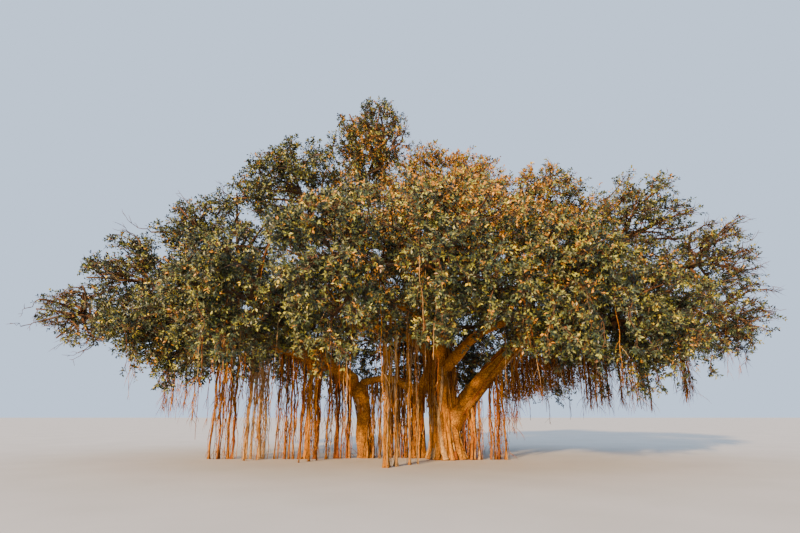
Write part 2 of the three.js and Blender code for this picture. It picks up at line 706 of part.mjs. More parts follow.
// Leaves on short twigs that the heart hides, spread over it and leaning every way.
function leavesOfHeart(mass, outward, seed, bough) {
  return spreadDirections(outward.clone().negate(), HEART_LEAVES).flatMap((direction, index) => {
    const stalk = pointInSpace(mass, direction, mass.heart * HEART_LEAF_ROOT);
    const [east, north, up, tilt] = [0, 1, 2, 3].map((draw) => chance(index, seed + draw) - 0.5);
    const along = direction.clone().add(at(east, north, up)).normalize();
    const across = new THREE.Vector3().crossVectors(along, UP).normalize();
    across.applyAxisAngle(along, tilt * Math.PI);
    return fittedLeaf(stalk, along, across, mass, bough);
  });
}

// The stem of a mass goes straight on from the end of its bough, then turns to the mass's middle.
function stemFromTip(bough, mass) {
  const { point, radius, along } = pointAlong(bough, 1);
  const foot = point.clone().addScaledVector(along, CLEARANCE);
  const turn = foot.clone().addScaledVector(along, STEM_STRAIGHT);
  const start = radius * STEM_SHARE;
  return tubeSolid([foot, turn, mass.middle], [start, start, start * STEM_TAPER], STEM_SIDES);
}

// Where no bough leads to a mass, its stem grows out of the trunk's head.
function stemFromTrunk(mass) {
  const { point, radius } = pointAlong("trunk", TRUNK_STEM_PLACE);
  const start = radius * TRUNK_STEM_SHARE;
  return tubeSolid([point, mass.middle], [start, start * STEM_TAPER], STEM_SIDES);
}

// One mass: a stem from its bough, and twigs that carry leaves. A dense mass has a heart as well,
// with leaves of its own.
function massSolid(mass, index) {
  const seed = LEAF_SEED + index * SEED_STEP;
  const bough = wood.has("bough_" + mass.name) ? "bough_" + mass.name : "trunk";
  const outward = mass.middle.clone().sub(CROWN_MIDDLE).normalize();
  const twigs = spreadDirections(outward, mass.heart > 0 ? DENSE_TWIGS : OPEN_TWIGS);
  const pieces = [
    bough === "trunk" ? stemFromTrunk(mass) : stemFromTip(bough, mass),
    ...twigs.flatMap((direction, twig) => fittedTwig(mass, direction, twig, seed, bough)),
  ];
  if (mass.heart > 0) {
    pieces.push(heartSolid(mass, seed + 2, bough), ...leavesOfHeart(mass, outward, seed + 3, bough));
  }
  for (const seam of LEAF_SEAMS) {
    const skin = cutClear(fused(pieces, seam));
    if (!touchesItself(skin) && !isFolded(skin)) return skin;
  }
  throw new Error(mass.name + " has a pinched skin");
}

function meshOf(name, solid, finish) {
  const { vertProperties, triVerts } = solid.getMesh();
  const geometry = new THREE.BufferGeometry();
  geometry.setAttribute("position", new THREE.BufferAttribute(vertProperties, 3));
  geometry.setIndex(new THREE.BufferAttribute(triVerts, 1));
  geometry.computeVertexNormals();
  const mesh = new THREE.Mesh(geometry, new THREE.MeshStandardMaterial(finish));
  mesh.name = name;
  return mesh;
}

const BARK = { color: 0x9a6a3c, roughness: 0.9, metalness: 0 };
const ROOT_BARK = { color: 0xb07f4e, roughness: 0.9, metalness: 0 };
const LEAVES = { color: 0x5c6024, roughness: 0.75, metalness: 0 };

addTrunk();
addStems();
addBoughs();
addRootRows();

const tree = new THREE.Group();
for (const [name, limb] of wood) {
  tree.add(meshOf(name, limb.solid, name.startsWith("roots_") ? ROOT_BARK : BARK));
}
MASSES.forEach((mass, index) => {
  tree.add(meshOf("foliage_" + mass.name, massSolid(mass, index), LEAVES));
});

export default tree;
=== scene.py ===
# %% [markdown]
# # A roadside banyan
# A banyan is a fig that props itself up. Its boughs run out level for many metres, and roots grow
# down from them like ropes: some hang and fray, some reach the ground, thicken and stand as posts.
# The lesson builds such a tree from the ground up: trunk, boughs, aerial roots, twigs, and last the
# leaves. Every shape is a formula over whole arrays, so the tree can be grown again at any time.

# %% Load the fixed frame
import json
import math
from collections import namedtuple

import bpy
import numpy as np
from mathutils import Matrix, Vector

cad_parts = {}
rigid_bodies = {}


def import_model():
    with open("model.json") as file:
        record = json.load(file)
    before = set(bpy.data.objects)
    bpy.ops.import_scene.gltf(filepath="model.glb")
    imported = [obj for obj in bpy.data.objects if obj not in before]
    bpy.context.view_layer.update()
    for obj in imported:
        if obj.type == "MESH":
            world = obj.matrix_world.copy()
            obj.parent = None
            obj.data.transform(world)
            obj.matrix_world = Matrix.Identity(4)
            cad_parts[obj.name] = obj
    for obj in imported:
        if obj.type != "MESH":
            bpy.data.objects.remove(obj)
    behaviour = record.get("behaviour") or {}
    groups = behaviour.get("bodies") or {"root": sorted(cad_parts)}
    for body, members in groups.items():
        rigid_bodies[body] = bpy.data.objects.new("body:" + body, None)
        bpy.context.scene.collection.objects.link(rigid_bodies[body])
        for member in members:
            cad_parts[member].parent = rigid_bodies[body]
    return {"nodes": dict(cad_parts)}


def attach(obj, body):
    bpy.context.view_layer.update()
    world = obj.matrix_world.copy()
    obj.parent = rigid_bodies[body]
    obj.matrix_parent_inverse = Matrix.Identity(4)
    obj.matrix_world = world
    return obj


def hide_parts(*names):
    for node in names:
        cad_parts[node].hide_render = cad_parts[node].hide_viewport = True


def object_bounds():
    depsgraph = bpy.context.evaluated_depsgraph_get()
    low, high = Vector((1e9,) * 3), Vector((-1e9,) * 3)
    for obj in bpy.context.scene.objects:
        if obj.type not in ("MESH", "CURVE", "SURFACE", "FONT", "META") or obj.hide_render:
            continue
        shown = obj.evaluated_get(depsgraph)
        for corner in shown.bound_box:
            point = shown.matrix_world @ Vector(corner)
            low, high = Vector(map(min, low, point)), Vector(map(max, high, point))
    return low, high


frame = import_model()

cad_low, cad_high = np.array(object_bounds())
print("the frame has", len(frame["nodes"]), "solids and is", cad_high - cad_low, "metres")

# %% [markdown]
# ## Numbers that repeat
# A grown thing is uneven, but a lesson has to give the same tree on every run. The tree's frame was
# laid out with a small sine hash, so the same hash is used wherever a place has to agree with it.
# Everything finer takes seeded random numbers.

# %% Chance, unit vectors and soft ripples
UP = np.array([0.0, 0.0, 1.0])
TURN = 2 * math.pi
GOLDEN_ANGLE = math.pi * (3 - math.sqrt(5))
# Steep enough that the sines of neighbouring numbers and seeds have nothing in common.
INDEX_STEP, SEED_TURN, STEEPNESS = 12.9898, 78.233, 43758.5453


def chance(index, seed):
    """The fraction that is left of a steep sine wave: a value from 0 to 1 for a number and a seed."""
    wave = np.sin(np.asarray(index) * INDEX_STEP + seed * SEED_TURN) * STEEPNESS
    return wave - np.floor(wave)


def unit(vectors):
    """Each vector divided by its own length."""
    return vectors / np.maximum(np.linalg.norm(vectors, axis=-1, keepdims=True), 1e-9)


def level_direction(bearing):
    """Unit vectors along the ground: (cosine, sine, 0) of each bearing."""
    return np.stack([np.cos(bearing), np.sin(bearing), 0 * bearing], -1)


def ripples(turn, run, waves, seed):
    """Sum of sines that go round a limb a whole number of times, so that the pattern closes on
    itself, and that swing sideways along it. A wave is (turns, swings a metre, strength)."""
    rng = np.random.default_rng(seed)
    widest_swing = 1.4
    total = 0.0
    for turns, swings, strength in waves:
        start, lean = rng.uniform(0, TURN, 2)
        swing = widest_swing * np.sin(TURN * swings * run + lean)
        total = total + strength * np.sin(turns * turn + start + swing)
    return total


print("the chances of the first three numbers are", chance(np.arange(3), 0))

# %% [markdown]
# ## Surfaces from arrays
# A limb, a root and a twig are all the same thing to a maker: a ring of corners carried along a
# path. The rings stand across the path, and a guide direction keeps them from twisting. Thousands
# of twigs can be swept at once, because the arrays hold one more axis for the number of paths.

# %% Sweep rings along many paths at once
THORN_SIDES = 3


def frames_along(paths):
    """For each path point, two unit vectors across the path. The guide is the world axis that the
    path's chord leans on least."""
    along = unit(np.gradient(paths, axis=1))
    chord = np.abs(paths[:, -1] - paths[:, 0])
    guide = np.eye(3)[np.argmin(chord, axis=1)][:, None, :]
    across = unit(guide - (guide * along).sum(-1, keepdims=True) * along)
    return across, np.cross(along, across)


def ring_corners(paths, radii, sides):
    """Corners of every ring: point + radius * (cos a * across + sin a * third) for each angle a.
    radii is one value a ring, or one a corner where the skin has relief."""
    across, third = frames_along(paths)
    angle = TURN * np.arange(sides) / sides
    ring = np.cos(angle)[:, None] * across[:, :, None] + np.sin(angle)[:, None] * third[:, :, None]
    if radii.ndim == 2:
        radii = radii[..., None]
    return paths[:, :, None] + radii[..., None] * ring


def bands(rings, sides):
    """Quads between each ring and the next."""
    low = (np.arange(rings - 1) * sides)[:, None]
    side = np.arange(sides)
    next_side = (side + 1) % sides
    quads = np.stack([low + side, low + next_side, low + next_side + sides, low + side + sides], -1)
    return quads.reshape(-1, 4)


def fan(pole, first, sides):
    """Triangles from a pole to each side of the ring whose corners begin at the number first."""
    side = np.arange(sides)
    return np.stack([np.full(sides, pole), first + side, first + (side + 1) % sides], -1)


def repeated(corners, quads, triangles):
    """The faces of one body for each of many, moved on by one body's corners every time."""
    shift = (np.arange(len(corners)) * corners.shape[1])[:, None, None]
    return corners.reshape(-1, 3), (quads + shift).reshape(-1, 4), (triangles + shift).reshape(-1, 3)


def swept(paths, radii, sides):
    """Tubes of rings round the paths. Each end closes on a pole with a fan."""
    count, rings, _ = paths.shape
    body = ring_corners(paths, radii, sides).reshape(count, -1, 3)
    corners = np.concatenate([body, paths[:, [0, -1]]], axis=1)
    foot = rings * sides
    ends = np.concatenate([fan(foot, 0, sides)[:, [0, 2, 1]], fan(foot + 1, foot - sides, sides)])
    return repeated(corners, bands(rings, sides), ends)


def thorns(paths, radii):
    """Three-sided tubes whose last point is their sharp tip, the lightest closed limb there is: one
    triangle closes the foot and three meet at the tip."""
    count, rings, _ = paths.shape
    body = ring_corners(paths, radii, THORN_SIDES)[:, :-1].reshape(count, -1, 3)
    corners = np.concatenate([body, paths[:, -1:]], axis=1)
    tip = (rings - 1) * THORN_SIDES
    ends = np.concatenate([[[2, 1, 0]], fan(tip, tip - THORN_SIDES, THORN_SIDES)])
    return repeated(corners, bands(rings - 1, THORN_SIDES), ends)


# %% Put arrays into a mesh
def joined(parts):
    """Several (corners, quads, triangles, tint) parts as one, with their face numbers moved on. A
    tint is one material number for the whole part, or one for each of its tubes or sprays."""
    corners, faces, tints, start = [], [], [], 0
    for part_corners, quads, fans, tint in parts:
        corners.append(part_corners)
        tint = np.atleast_1d(tint)
        for block in (quads, fans):
            if len(block):
                faces.append(block + start)
                tints.append(np.repeat(tint, len(block) // len(tint)))
        start += len(part_corners)
    return np.concatenate(corners), faces, np.concatenate(tints)


def make_piece(name, parts, materials, nodes, smooth=True):
    """Builds one object at the origin with nothing below the ground, gives its faces their material,
    and rides it on the tree."""
    corners, faces, tints = joined(parts)
    corners[:, 2] = np.maximum(corners[:, 2], 0)
    sizes = np.concatenate([np.full(len(block), block.shape[1]) for block in faces])
    loops = np.concatenate([block.ravel() for block in faces])
    mesh = bpy.data.meshes.new(name)
    mesh.vertices.add(len(corners))
    mesh.vertices.foreach_set("co", corners.astype(np.float32).ravel())
    mesh.loops.add(len(loops))
    mesh.loops.foreach_set("vertex_index", loops.astype(np.int32))
    mesh.polygons.add(len(sizes))
    mesh.polygons.foreach_set("loop_start", (np.cumsum(sizes) - sizes).astype(np.int32))
    mesh.polygons.foreach_set("use_smooth", np.full(len(sizes), smooth))
    for material in materials:
        mesh.materials.append(material)
    mesh.polygons.foreach_set("material_index", tints.astype(np.int32))
    mesh.update(calc_edges=True)
    piece = bpy.data.objects.new(name, mesh)
    bpy.context.scene.collection.objects.link(piece)
    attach(piece, "root")
    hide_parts(*nodes)
    print(name, "has", int((sizes - 2).sum()), "triangles")


# %% [markdown]
# ## Colours and finishes
# Bark, root and leaf are dull, uneven surfaces. Each finish starts from two or three tones, mixed
# by a noise whose grain has a real size, and the bark finishes take a bump of the same grain. The
# evening warmth comes from the light, and the tones are those of the thing in plain daylight, but for
# painted shade in the bark's cracks and in the darkest roots and leaves, and for each age of leaf,
# whose two tones are a shaded and a lit blade: painted shade and painted light.

# %% Helpers for colours and nodes
def linear(hex_colour):
    """An sRGB hex value as the linear red, green, blue and alpha that a shader needs."""
    channels = [int(hex_colour[start:start + 2], 16) / 255 for start in (1, 3, 5)]
    return tuple(c / 12.92 if c <= 0.04045 else ((c + 0.055) / 1.055) ** 2.4 for c in channels) + (1.0,)


def wired(tree, node, values=None, links=None):
    """Sets a node's unlinked inputs, and links outputs of other nodes to the rest."""
    for socket, value in (values or {}).items():
        node.inputs[socket].default_value = value
    for socket, source in (links or {}).items():
        tree.links.new(source, node.inputs[socket])
    return node


def add_node(tree, kind, settings=None, values=None, links=None):
    """Adds a node, sets its fields, and wires it."""
    node = tree.nodes.new(kind)
    for field, setting in (settings or {}).items():
        setattr(node, field, setting)
    return wired(tree, node, values, links)


def empty_material(name):
    """A material with only its output and a Principled shader, the tree to build in, and the object's
    own coordinates to build on."""
    material = bpy.data.materials.new(name)
    material.use_nodes = True
    tree = material.node_tree
    place = add_node(tree, "ShaderNodeTexCoord").outputs["Object"]
    return material, tree, tree.nodes["Principled BSDF"], place


def noise(tree, place, grain_mm, detail, roughness=0.5):
    """A factor from 0 to 1 whose grain has a real size: 1000 / grain_mm waves a metre."""
    values = {"Scale": 1000 / grain_mm, "Detail": detail, "Roughness": roughness}
    return add_node(tree, "ShaderNodeTexNoise", values=values, links={"Vector": place}).outputs["Fac"]


def tone_ramp(tree, factor, tones):
    """Colours spread evenly over the middle of a factor's range, as a noise seldom leaves it."""
    first_stop, last_stop = 0.3, 0.7
    ramp = add_node(tree, "ShaderNodeValToRGB", links={"Fac": factor})
    stops = ramp.color_ramp.elements
    while len(stops) < len(tones):
        stops.new(0.5)
    for stop, place, tone in zip(stops, np.linspace(first_stop, last_stop, len(tones)), tones):
        stop.position = place
        stop.color = linear(tone)
    return ramp.outputs["Color"]


# %% [markdown]
# Fig bark is dry and dull, and split into small plates. Painted shade darkens the cracks between ochre
# plates, which gives the eye the rough, warm look of the trunk. Aerial roots have the same skin in finer
# grain, drawn out along the root: pale and dusty where they hang dry, tan and red brown where the skin is
# young, almost black where they stay damp and as painted shade between them. Twigs are grey brown. One
# function makes them all, from their tones.

# %% Bark, roots and twigs
PATCH_GRAINS = 12
PLATE_GRAINS = 3
CRACK_WIDTH = 0.12
# Painted shade: how dark the cracks between the plates are painted, for the shadow in them.
CRACK_SHADE = 0.3


def bark_material(name, tones, grain_mm, bump_mm, stretch=1.0):
    """Rough bark: the mean of a fine noise and of one of twelve times its grain picks the tone, the
    edges of cells of three grains darken it as painted shade in the cracks, and both raise the bump.
    stretch lengthens the grain along Z, for roots that hang straight."""
    material, tree, shader, place = empty_material(name)
    place = add_node(tree, "ShaderNodeMapping", values={"Scale": (1, 1, 1 / stretch)},
                     links={"Vector": place}).outputs["Vector"]
    grain = noise(tree, place, grain_mm, 5, 0.65)
    patches = noise(tree, place, PATCH_GRAINS * grain_mm, 3, 0.6)
    plates = add_node(tree, "ShaderNodeTexVoronoi", {"feature": "DISTANCE_TO_EDGE"},
                      {"Scale": 1000 / (PLATE_GRAINS * grain_mm)}, {"Vector": place})
    total = add_node(tree, "ShaderNodeMath", {"operation": "ADD"}, links={0: grain, 1: patches})
    mean = add_node(tree, "ShaderNodeMath", {"operation": "MULTIPLY"}, {1: 0.5},
                    {0: total.outputs["Value"]})
    crack = add_node(tree, "ShaderNodeMapRange", values={"From Max": CRACK_WIDTH, "To Min": CRACK_SHADE},
                     links={"Value": plates.outputs["Distance"]}).outputs["Result"]
    # Painted shade: the crack factor darkens the tone towards the cells' edges.
    colour = add_node(tree, "ShaderNodeVectorMath", {"operation": "SCALE"},
                      links={0: tone_ramp(tree, mean.outputs["Value"], tones), "Scale": crack})
    height = add_node(tree, "ShaderNodeMath", {"operation": "MULTIPLY"}, links={0: grain, 1: crack})
    bump = add_node(tree, "ShaderNodeBump", values={"Strength": 0.8, "Distance": bump_mm / 1000},
                    links={"Height": height.outputs["Value"]})
    rough = add_node(tree, "ShaderNodeMapRange", values={"To Min": 0.75, "To Max": 0.95},
                     links={"Value": grain})
    wired(tree, shader, {"Specular IOR Level": 0.25}, {
        "Base Color": colour.outputs["Vector"],
        "Normal": bump.outputs["Normal"],
        "Roughness": rough.outputs["Result"],
    })
    return material


# Dry corky bark: ochre plates in the sun, with brown between them.
BARK = bark_material("fissured_fig_bark", ["#4f2b0e", "#96621a", "#dc9e36"], grain_mm=35, bump_mm=9)
ROOT_TONES = {
    # dusty old skin: the light upright lines of a row
    "pale_dry_root": ["#8f6c44", "#bb9665", "#d4b788"],
    # young skin in the sun: warm ochre, like the trunk
    "tan_root": ["#7c4814", "#b4741c", "#dca23c"],
    # skin with little cork yet: the red tinge of the hanging rows
    "red_brown_root": ["#5c2e10", "#904e1a", "#b06c2a"],
    # damp skin and painted shade: dark lines for the shaded gaps that set the others apart
    "dark_damp_and_shade_root": ["#2c1a10", "#4a2f1c", "#654428"],
}
ROOT_GRAIN = {"grain_mm": 18, "bump_mm": 4, "stretch": 6}
ROOT_FINISHES = [bark_material(name, tones, **ROOT_GRAIN) for name, tones in ROOT_TONES.items()]
TWIG_TONES = {
    # dull grey skin, which stays quiet behind the leaves
    "grey_brown_twig": ["#463a30", "#65523f", "#80694f"],
    # this year's skin: a warmer shade here and there
    "red_brown_twig": ["#4c3322", "#6e4c30", "#8a6642"],
}
TWIG_GRAIN = {"grain_mm": 22, "bump_mm": 3}
TWIG_FINISHES = [bark_material(name, tones, **TWIG_GRAIN) for name, tones in TWIG_TONES.items()]
print("finishes of wood:", 1 + len(ROOT_FINISHES) + len(TWIG_FINISHES))

# %% [markdown]
# A fig leaf is leathery: smooth enough to catch a soft highlight, darker where it is old, and it
# turns yellow and then brown before it drops. Late in a dry season all of these hang side by side,
# so there is one material for each age, and the leaves take one of them spray by spray. Each age
# holds a shaded and a lit tone of the blade, which are painted shade and painted light.

# %% Leaves of several ages
LEAF_GRAIN_MM = 160
LEAF_TONES = {
    # two close tones each, the shaded blade and the lit one, as painted shade and painted light mixed
    # by noise: the dark ones give the crown its depth, the golden ones its glow
    # old leaves, darkened to near black by painted shade for the crown's shaded inside
    "old_green_and_shade_leaf": ["#101812", "#223022"],
    "full_green_leaf": ["#2a3a28", "#475738"],
    "olive_leaf": ["#4f5632", "#757848"],
    "yellow_green_leaf": ["#7a8034", "#a8a848"],
    "golden_leaf": ["#a07020", "#d69a30"],
    "russet_leaf": ["#4c301a", "#704822"],
    "clear_yellow_leaf": ["#c8b02c", "#dcca46"],
}


def leaf_material(name, tones):
    """Waxy leaf: a noise about as coarse as one leaf shifts it between two close tones, a shaded
    and a lit blade: painted shade and painted light.
    """
    material, tree, shader, place = empty_material(name)
    colour = tone_ramp(tree, noise(tree, place, LEAF_GRAIN_MM, 2), tones)
    wired(tree, shader, {"Roughness": 0.42, "Specular IOR Level": 0.55}, {"Base Color": colour})
    return material


LEAF_FINISHES = [leaf_material(name, tones) for name, tones in LEAF_TONES.items()]
print("ages of leaves:", len(LEAF_FINISHES))

# %% [markdown]
# ## Routes of the wood
# Boughs do not run straight. A centripetal Catmull-Rom curve passes through a few chosen points
# without loops or cusps, which suits a limb that was bent by its own weight. The frame's solids
# were drawn with the same curve, so a bark skin over this route covers the solid.

# %% Curves through a few points
STEPS_A_CHORD = 60


def smooth_route(through, steps):
    """Centripetal Catmull-Rom curve: between two points a cubic whose end slopes weigh the chords by
    the square root of their length. Returns steps + 1 points, evenly spaced along the curve."""
    points = np.asarray(through, float)
    points = np.vstack([2 * points[0] - points[1], points, 2 * points[-1] - points[-2]])
    knots = np.sqrt(np.linalg.norm(np.diff(points, axis=0), axis=1))[:, None]
    chords = np.diff(points, axis=0) / knots
    mids = (points[2:] - points[:-2]) / (knots[1:] + knots[:-1])
    slopes = chords[:-1] - mids + chords[1:]
    begin, end = points[1:-2], points[2:-1]
    leave, arrive = slopes[:-1] * knots[1:-1], slopes[1:] * knots[1:-1]
    t = np.linspace(0, 1, STEPS_A_CHORD, endpoint=False)[None, :, None]
    begin, end, leave, arrive = (each[:, None] for each in (begin, end, leave, arrive))
    dense = ((2 * t**3 - 3 * t**2 + 1) * begin + (t**3 - 2 * t**2 + t) * leave
             + (3 * t**2 - 2 * t**3) * end + (t**3 - t**2) * arrive)
    dense = np.vstack([dense.reshape(-1, 3), points[-2]])
    length = np.concatenate([[0], np.cumsum(np.linalg.norm(np.diff(dense, axis=0), axis=1))])
    wanted = np.linspace(0, length[-1], steps + 1)
    return np.stack([np.interp(wanted, length, dense[:, axis]) for axis in range(3)], -1)


def bezier(start, bend, tip, share):
    """Point at a share of a quadratic Bezier curve."""
    return (1 - share) ** 2 * start + 2 * share * (1 - share) * bend + share**2 * tip


# %% The masses of the crown, and the boughs that feed them
Mass = namedtuple("Mass", "middle reach heart keep")
# heart is the share of a dense core, and keep the share of its sprays that a mass keeps.
MASSES = {
    "left_tip": Mass((-15.2, 0, 5.7), (2.2, 2.2, 1.5), 0, 0.2),
    "left_outer": Mass((-12.6, 0, 7.1), (2.7, 3.3, 2.0), 0.76, 0.7),
    "left_shoulder": Mass((-9.6, 0, 8.8), (2.8, 3.5, 2.1), 0.8, 0.95),
    "upper_left": Mass((-6.3, 0.2, 11.2), (2.9, 3.4, 2.2), 0.82, 1.0),
    "top": Mass((-3.1, 0.6, 13.65), (1.95, 2.6, 2.55), 0.8, 0.66),
    "upper_right": Mass((0.3, 0.6, 11.2), (3.1, 3.4, 2.2), 0.8, 0.95),
    "right_shoulder": Mass((4.6, 0.4, 9.7), (2.6, 3.3, 2.1), 0.78, 0.9),
    "right_upper": Mass((8.4, 0.2, 9.4), (2.5, 3.3, 2.1), 0.72, 0.46),
    "right_outer": Mass((11.2, 0, 8.0), (2.1, 2.8, 1.9), 0.64, 0.24),
    "right_tip": Mass((11.1, -0.4, 5.5), (2.1, 2.4, 1.6), 0, 0.22),
    "left_low": Mass((-9.6, -2.4, 4.7), (2.9, 2.7, 1.5), 0.76, 0.8),
    "front_left": Mass((-6.9, -4.8, 5.5), (2.6, 3.0, 1.7), 0.8, 0.95),
    "front_middle": Mass((-3.9, -5.7, 6.2), (2.5, 3.2, 2.2), 0.8, 1.0),
    "front_centre": Mass((-0.5, -5.7, 6.9), (2.6, 3.3, 2.2), 0.8, 1.0),
    "front_right": Mass((3.1, -5.5, 5.7), (2.5, 3.1, 1.9), 0.8, 1.0),
    "right_low": Mass((6.7, -3.2, 5.0), (2.3, 2.7, 1.9), 0.78, 0.8),
    "back_left_outer": Mass((-12.0, 5.4, 6.4), (3.2, 3.2, 2.0), 0.78, 0.7),
    "back_left": Mass((-6.8, 5.9, 6.6), (3.6, 3.2, 3.4), 0.8, 0.9),
    "back_middle": Mass((-0.9, 6.2, 8.7), (3.4, 3.3, 3.2), 0.8, 0.75),
    "back_right": Mass((5.2, 5.5, 6.2), (3.7, 3.2, 3.4), 0.78, 0.8),
    "inner": Mass((-0.4, 3.0, 5.5), (5.6, 2.2, 2.0), 0.7, 1.0),
}
STEMS = {
    # name: points, radius at each end
    "left_stem": ([(-3.2, 0.6, 0), (-3.3, 0.55, 1.5), (-3.6, 0.4, 2.95)], (0.23, 0.3)),
    "middle_stem": ([(-1.05, 0.7, 0), (-1.0, 0.6, 2.4), (-0.35, 0.15, 4.0)], (0.23, 0.17)),
    "cross_bough": ([(-0.95, 0.55, 2.5), (-2.1, 0.5, 3.05), (-3.5, 0.42, 2.9)], (0.17, 0.13)),
}
LONG_BOUGHS = {
    # name: parent, share of the parent's length, points on the way, radius at each end
    "top": ("trunk", 1, [(0.1, 0, 6.5), (-1.5, 0.4, 10)], (0.38, 0.11)),
    "right_outer": ("trunk", 0.52, [(1.82, -0.3, 3.35), (2.9, -0.4, 4.4), (6, 0, 6.3)], (0.37, 0.12)),
    "left_tip": ("left_stem", 0.97, [(-5.1, 0, 3.75), (-7.6, 0, 4.5), (-10.4, 0, 4.45), (-12.5, 0, 4.85)],
                 (0.29, 0.09)),
}
SIDE_BOUGHS = {
    # name: parent, share of the parent's length, bend of its middle, radius at each end
    "upper_left": ("top", 0.42, (-0.2, 0, 0.3), (0.21, 0.11)),
    "upper_right": ("top", 0.16, (1.2, 0, 0), (0.26, 0.12)),
    "right_shoulder": ("upper_right", 0.3, (0.3, 0, -0.2), (0.19, 0.11)),
    "right_upper": ("right_outer", 0.55, (0.3, 0, -0.2), (0.19, 0.1)),
    "right_tip": ("right_outer", 0.68, (0.2, 0, 0.1), (0.15, 0.07)),
    "right_low": ("right_outer", 0.42, (0, -0.1, 0.25), (0.18, 0.11)),
    "back_right": ("right_outer", 0.5, (0, 0.2, 0.4), (0.2, 0.11)),
    "left_shoulder": ("left_tip", 0.16, (-0.2, 0, 0.4), (0.22, 0.12)),
    "left_outer": ("left_tip", 0.55, (-0.3, 0, 0.2), (0.17, 0.1)),
    "left_low": ("left_tip", 0.3, (0, 0, 0.15), (0.15, 0.09)),
    "front_left": ("left_tip", 0.1, (0, 0, 0.3), (0.19, 0.11)),
    "back_left_outer": ("left_tip", 0.45, (0, 0, 0.4), (0.18, 0.11)),
    "front_centre": ("trunk", 0.93, (0, 0, 0.3), (0.26, 0.12)),
    "front_middle": ("front_centre", 0.35, (0, 0, 0.2), (0.18, 0.11)),
    "front_right": ("trunk", 0.86, (0, 0, 0.35), (0.23, 0.12)),
    "back_left": ("trunk", 0.95, (0, 0, 0.5), (0.26, 0.12)),
    "back_middle": ("trunk", 0.97, (0, 0, 0.5), (0.26, 0.12)),
}


def measured_masses():
    """Middles and reaches of all masses as arrays, and the row of each mass in them."""
    middles = np.array([mass.middle for mass in MASSES.values()], float)
    reaches = np.array([mass.reach for mass in MASSES.values()], float)
    return middles, reaches, {name: number for number, name in enumerate(MASSES)}


MIDDLES, REACHES, MASS_NUMBER = measured_masses()
print(len(MASSES), "masses on", len(LONG_BOUGHS) + len(SIDE_BOUGHS), "boughs and", len(STEMS), "stems")

# %% [markdown]
# ## Spaces of the crown
# Leaves grow where there is light, so each bough's foliage fills its own rounded space and stops
# where the next one begins. A point's distance in a space is measured in reaches: 1 is its edge.

# %% Distances inside the crown, and the crown as a whole
VALLEY_POWER = 3
DROOP = 0.84
NEAREST = 0.05
# How deep a bough runs into a mass with a dense heart, and into an open one.
DENSE_ENTRY, OPEN_ENTRY = 0.92, 0.6


def space_distance(points, number):
    """Length of (point - middle) / reach."""
    return np.linalg.norm((points - MIDDLES[number]) / REACHES[number], axis=-1)


def room_to_others(points, number):
    """How much nearer, in metres, each point is to its own space than to the nearest other one."""
    own = space_distance(points, number)
    room = np.full(own.shape, np.inf)
    for other in range(len(MIDDLES)):
        if other != number:
            gap = (space_distance(points, other) - own) * REACHES[other].min()
            room = np.minimum(room, gap)
    return room


def crown_depth(points):
    """A soft least distance: the sum over all spaces of distance to the power -3, to the power -1/3.
    Where two spaces meet it lies below both distances, which fills the valley between them. Heights
    below a middle count a little less, because the lowest sprays droop."""
    total = 0.0
    for middle, reach in zip(MIDDLES, REACHES):
        away = (points - middle) / reach
        away[..., 2] = np.where(away[..., 2] < 0, DROOP * away[..., 2], away[..., 2])
        total = total + np.maximum(np.linalg.norm(away, axis=-1), NEAREST) ** -VALLEY_POWER
    return total ** (-1 / VALLEY_POWER)


def entry_point(start, name):
    """The first point of the straight line from start to a mass's middle that lies in its own space."""
    number = MASS_NUMBER[name]
    edge = DENSE_ENTRY if MASSES[name].heart else OPEN_ENTRY
    line = start + np.linspace(0, 1, 201)[:, None] * (MIDDLES[number] - start)
    inside = (space_distance(line, number) <= edge) & (room_to_others(line, number) > 0)
    return line[np.argmax(inside)]


# %% Lay out the routes
TRUNK_LEVELS = np.array([0, 0.2, 0.5, 1.0, 1.8, 3.0, 4.4])
TRUNK_HEIGHT = TRUNK_LEVELS[-1]
TRUNK_BOW = 0.2
TRUNK_RADIUS = 0.5


def trunk_axis(height):
    """The trunk leans left by a quarter sine wave on its way up."""
    rise = np.minimum(np.asarray(height) / TRUNK_HEIGHT, 1)
    return np.stack([-TRUNK_BOW * np.sin(rise * math.pi / 2), 0 * rise, np.asarray(height, float)], -1)


coarse = {"trunk": (trunk_axis(TRUNK_LEVELS), np.full(len(TRUNK_LEVELS), TRUNK_RADIUS))}
guides = {}


def point_along(name, share):
    """Point, radius and direction at a share of a route's length, straight between its points."""
    points, radii = coarse[name]
    place = min(share, 1) * (len(points) - 1)
    index = min(int(place), len(points) - 2)
    rest = place - index
    point = points[index] + rest * (points[index + 1] - points[index])
    radius = radii[index] + rest * (radii[index + 1] - radii[index])
    return point, radius, unit(points[index + 1] - points[index])


def lay_route(name, through, thick, steps):
    """Keeps a limb's guide points, and the coarse route from which its offshoots start."""
    points = smooth_route(through, steps)
    radii = np.linspace(thick[0], thick[1], steps + 1)
    coarse[name] = (points, radii)
    guides[name] = (through, thick)


for name, (through, thick) in STEMS.items():
    lay_route(name, through, thick, 4)
for name, (parent, share, via, thick) in LONG_BOUGHS.items():
    start = point_along(parent, share)[0]
    lay_route(name, [start, *via, entry_point(via[-1], name)], thick, 8)
for name, (parent, share, bend, thick) in SIDE_BOUGHS.items():
    start = point_along(parent, share)[0]
    end = entry_point(start, name)
    lay_route(name, [start, (start + end) / 2 + bend, end], thick, 4)
print("laid out", len(coarse), "limbs")

# %% [markdown]
# ## The trunk
# Seen near to, a banyan's trunk is a bundle: roots that came down long ago have grown together
# round the first stem. A polar grid shows this well. The distance from the axis is a soft maximum
# of the heart and of nine round pillars, with finer ridges and cracks running up it, and the whole
# spreads at the foot.

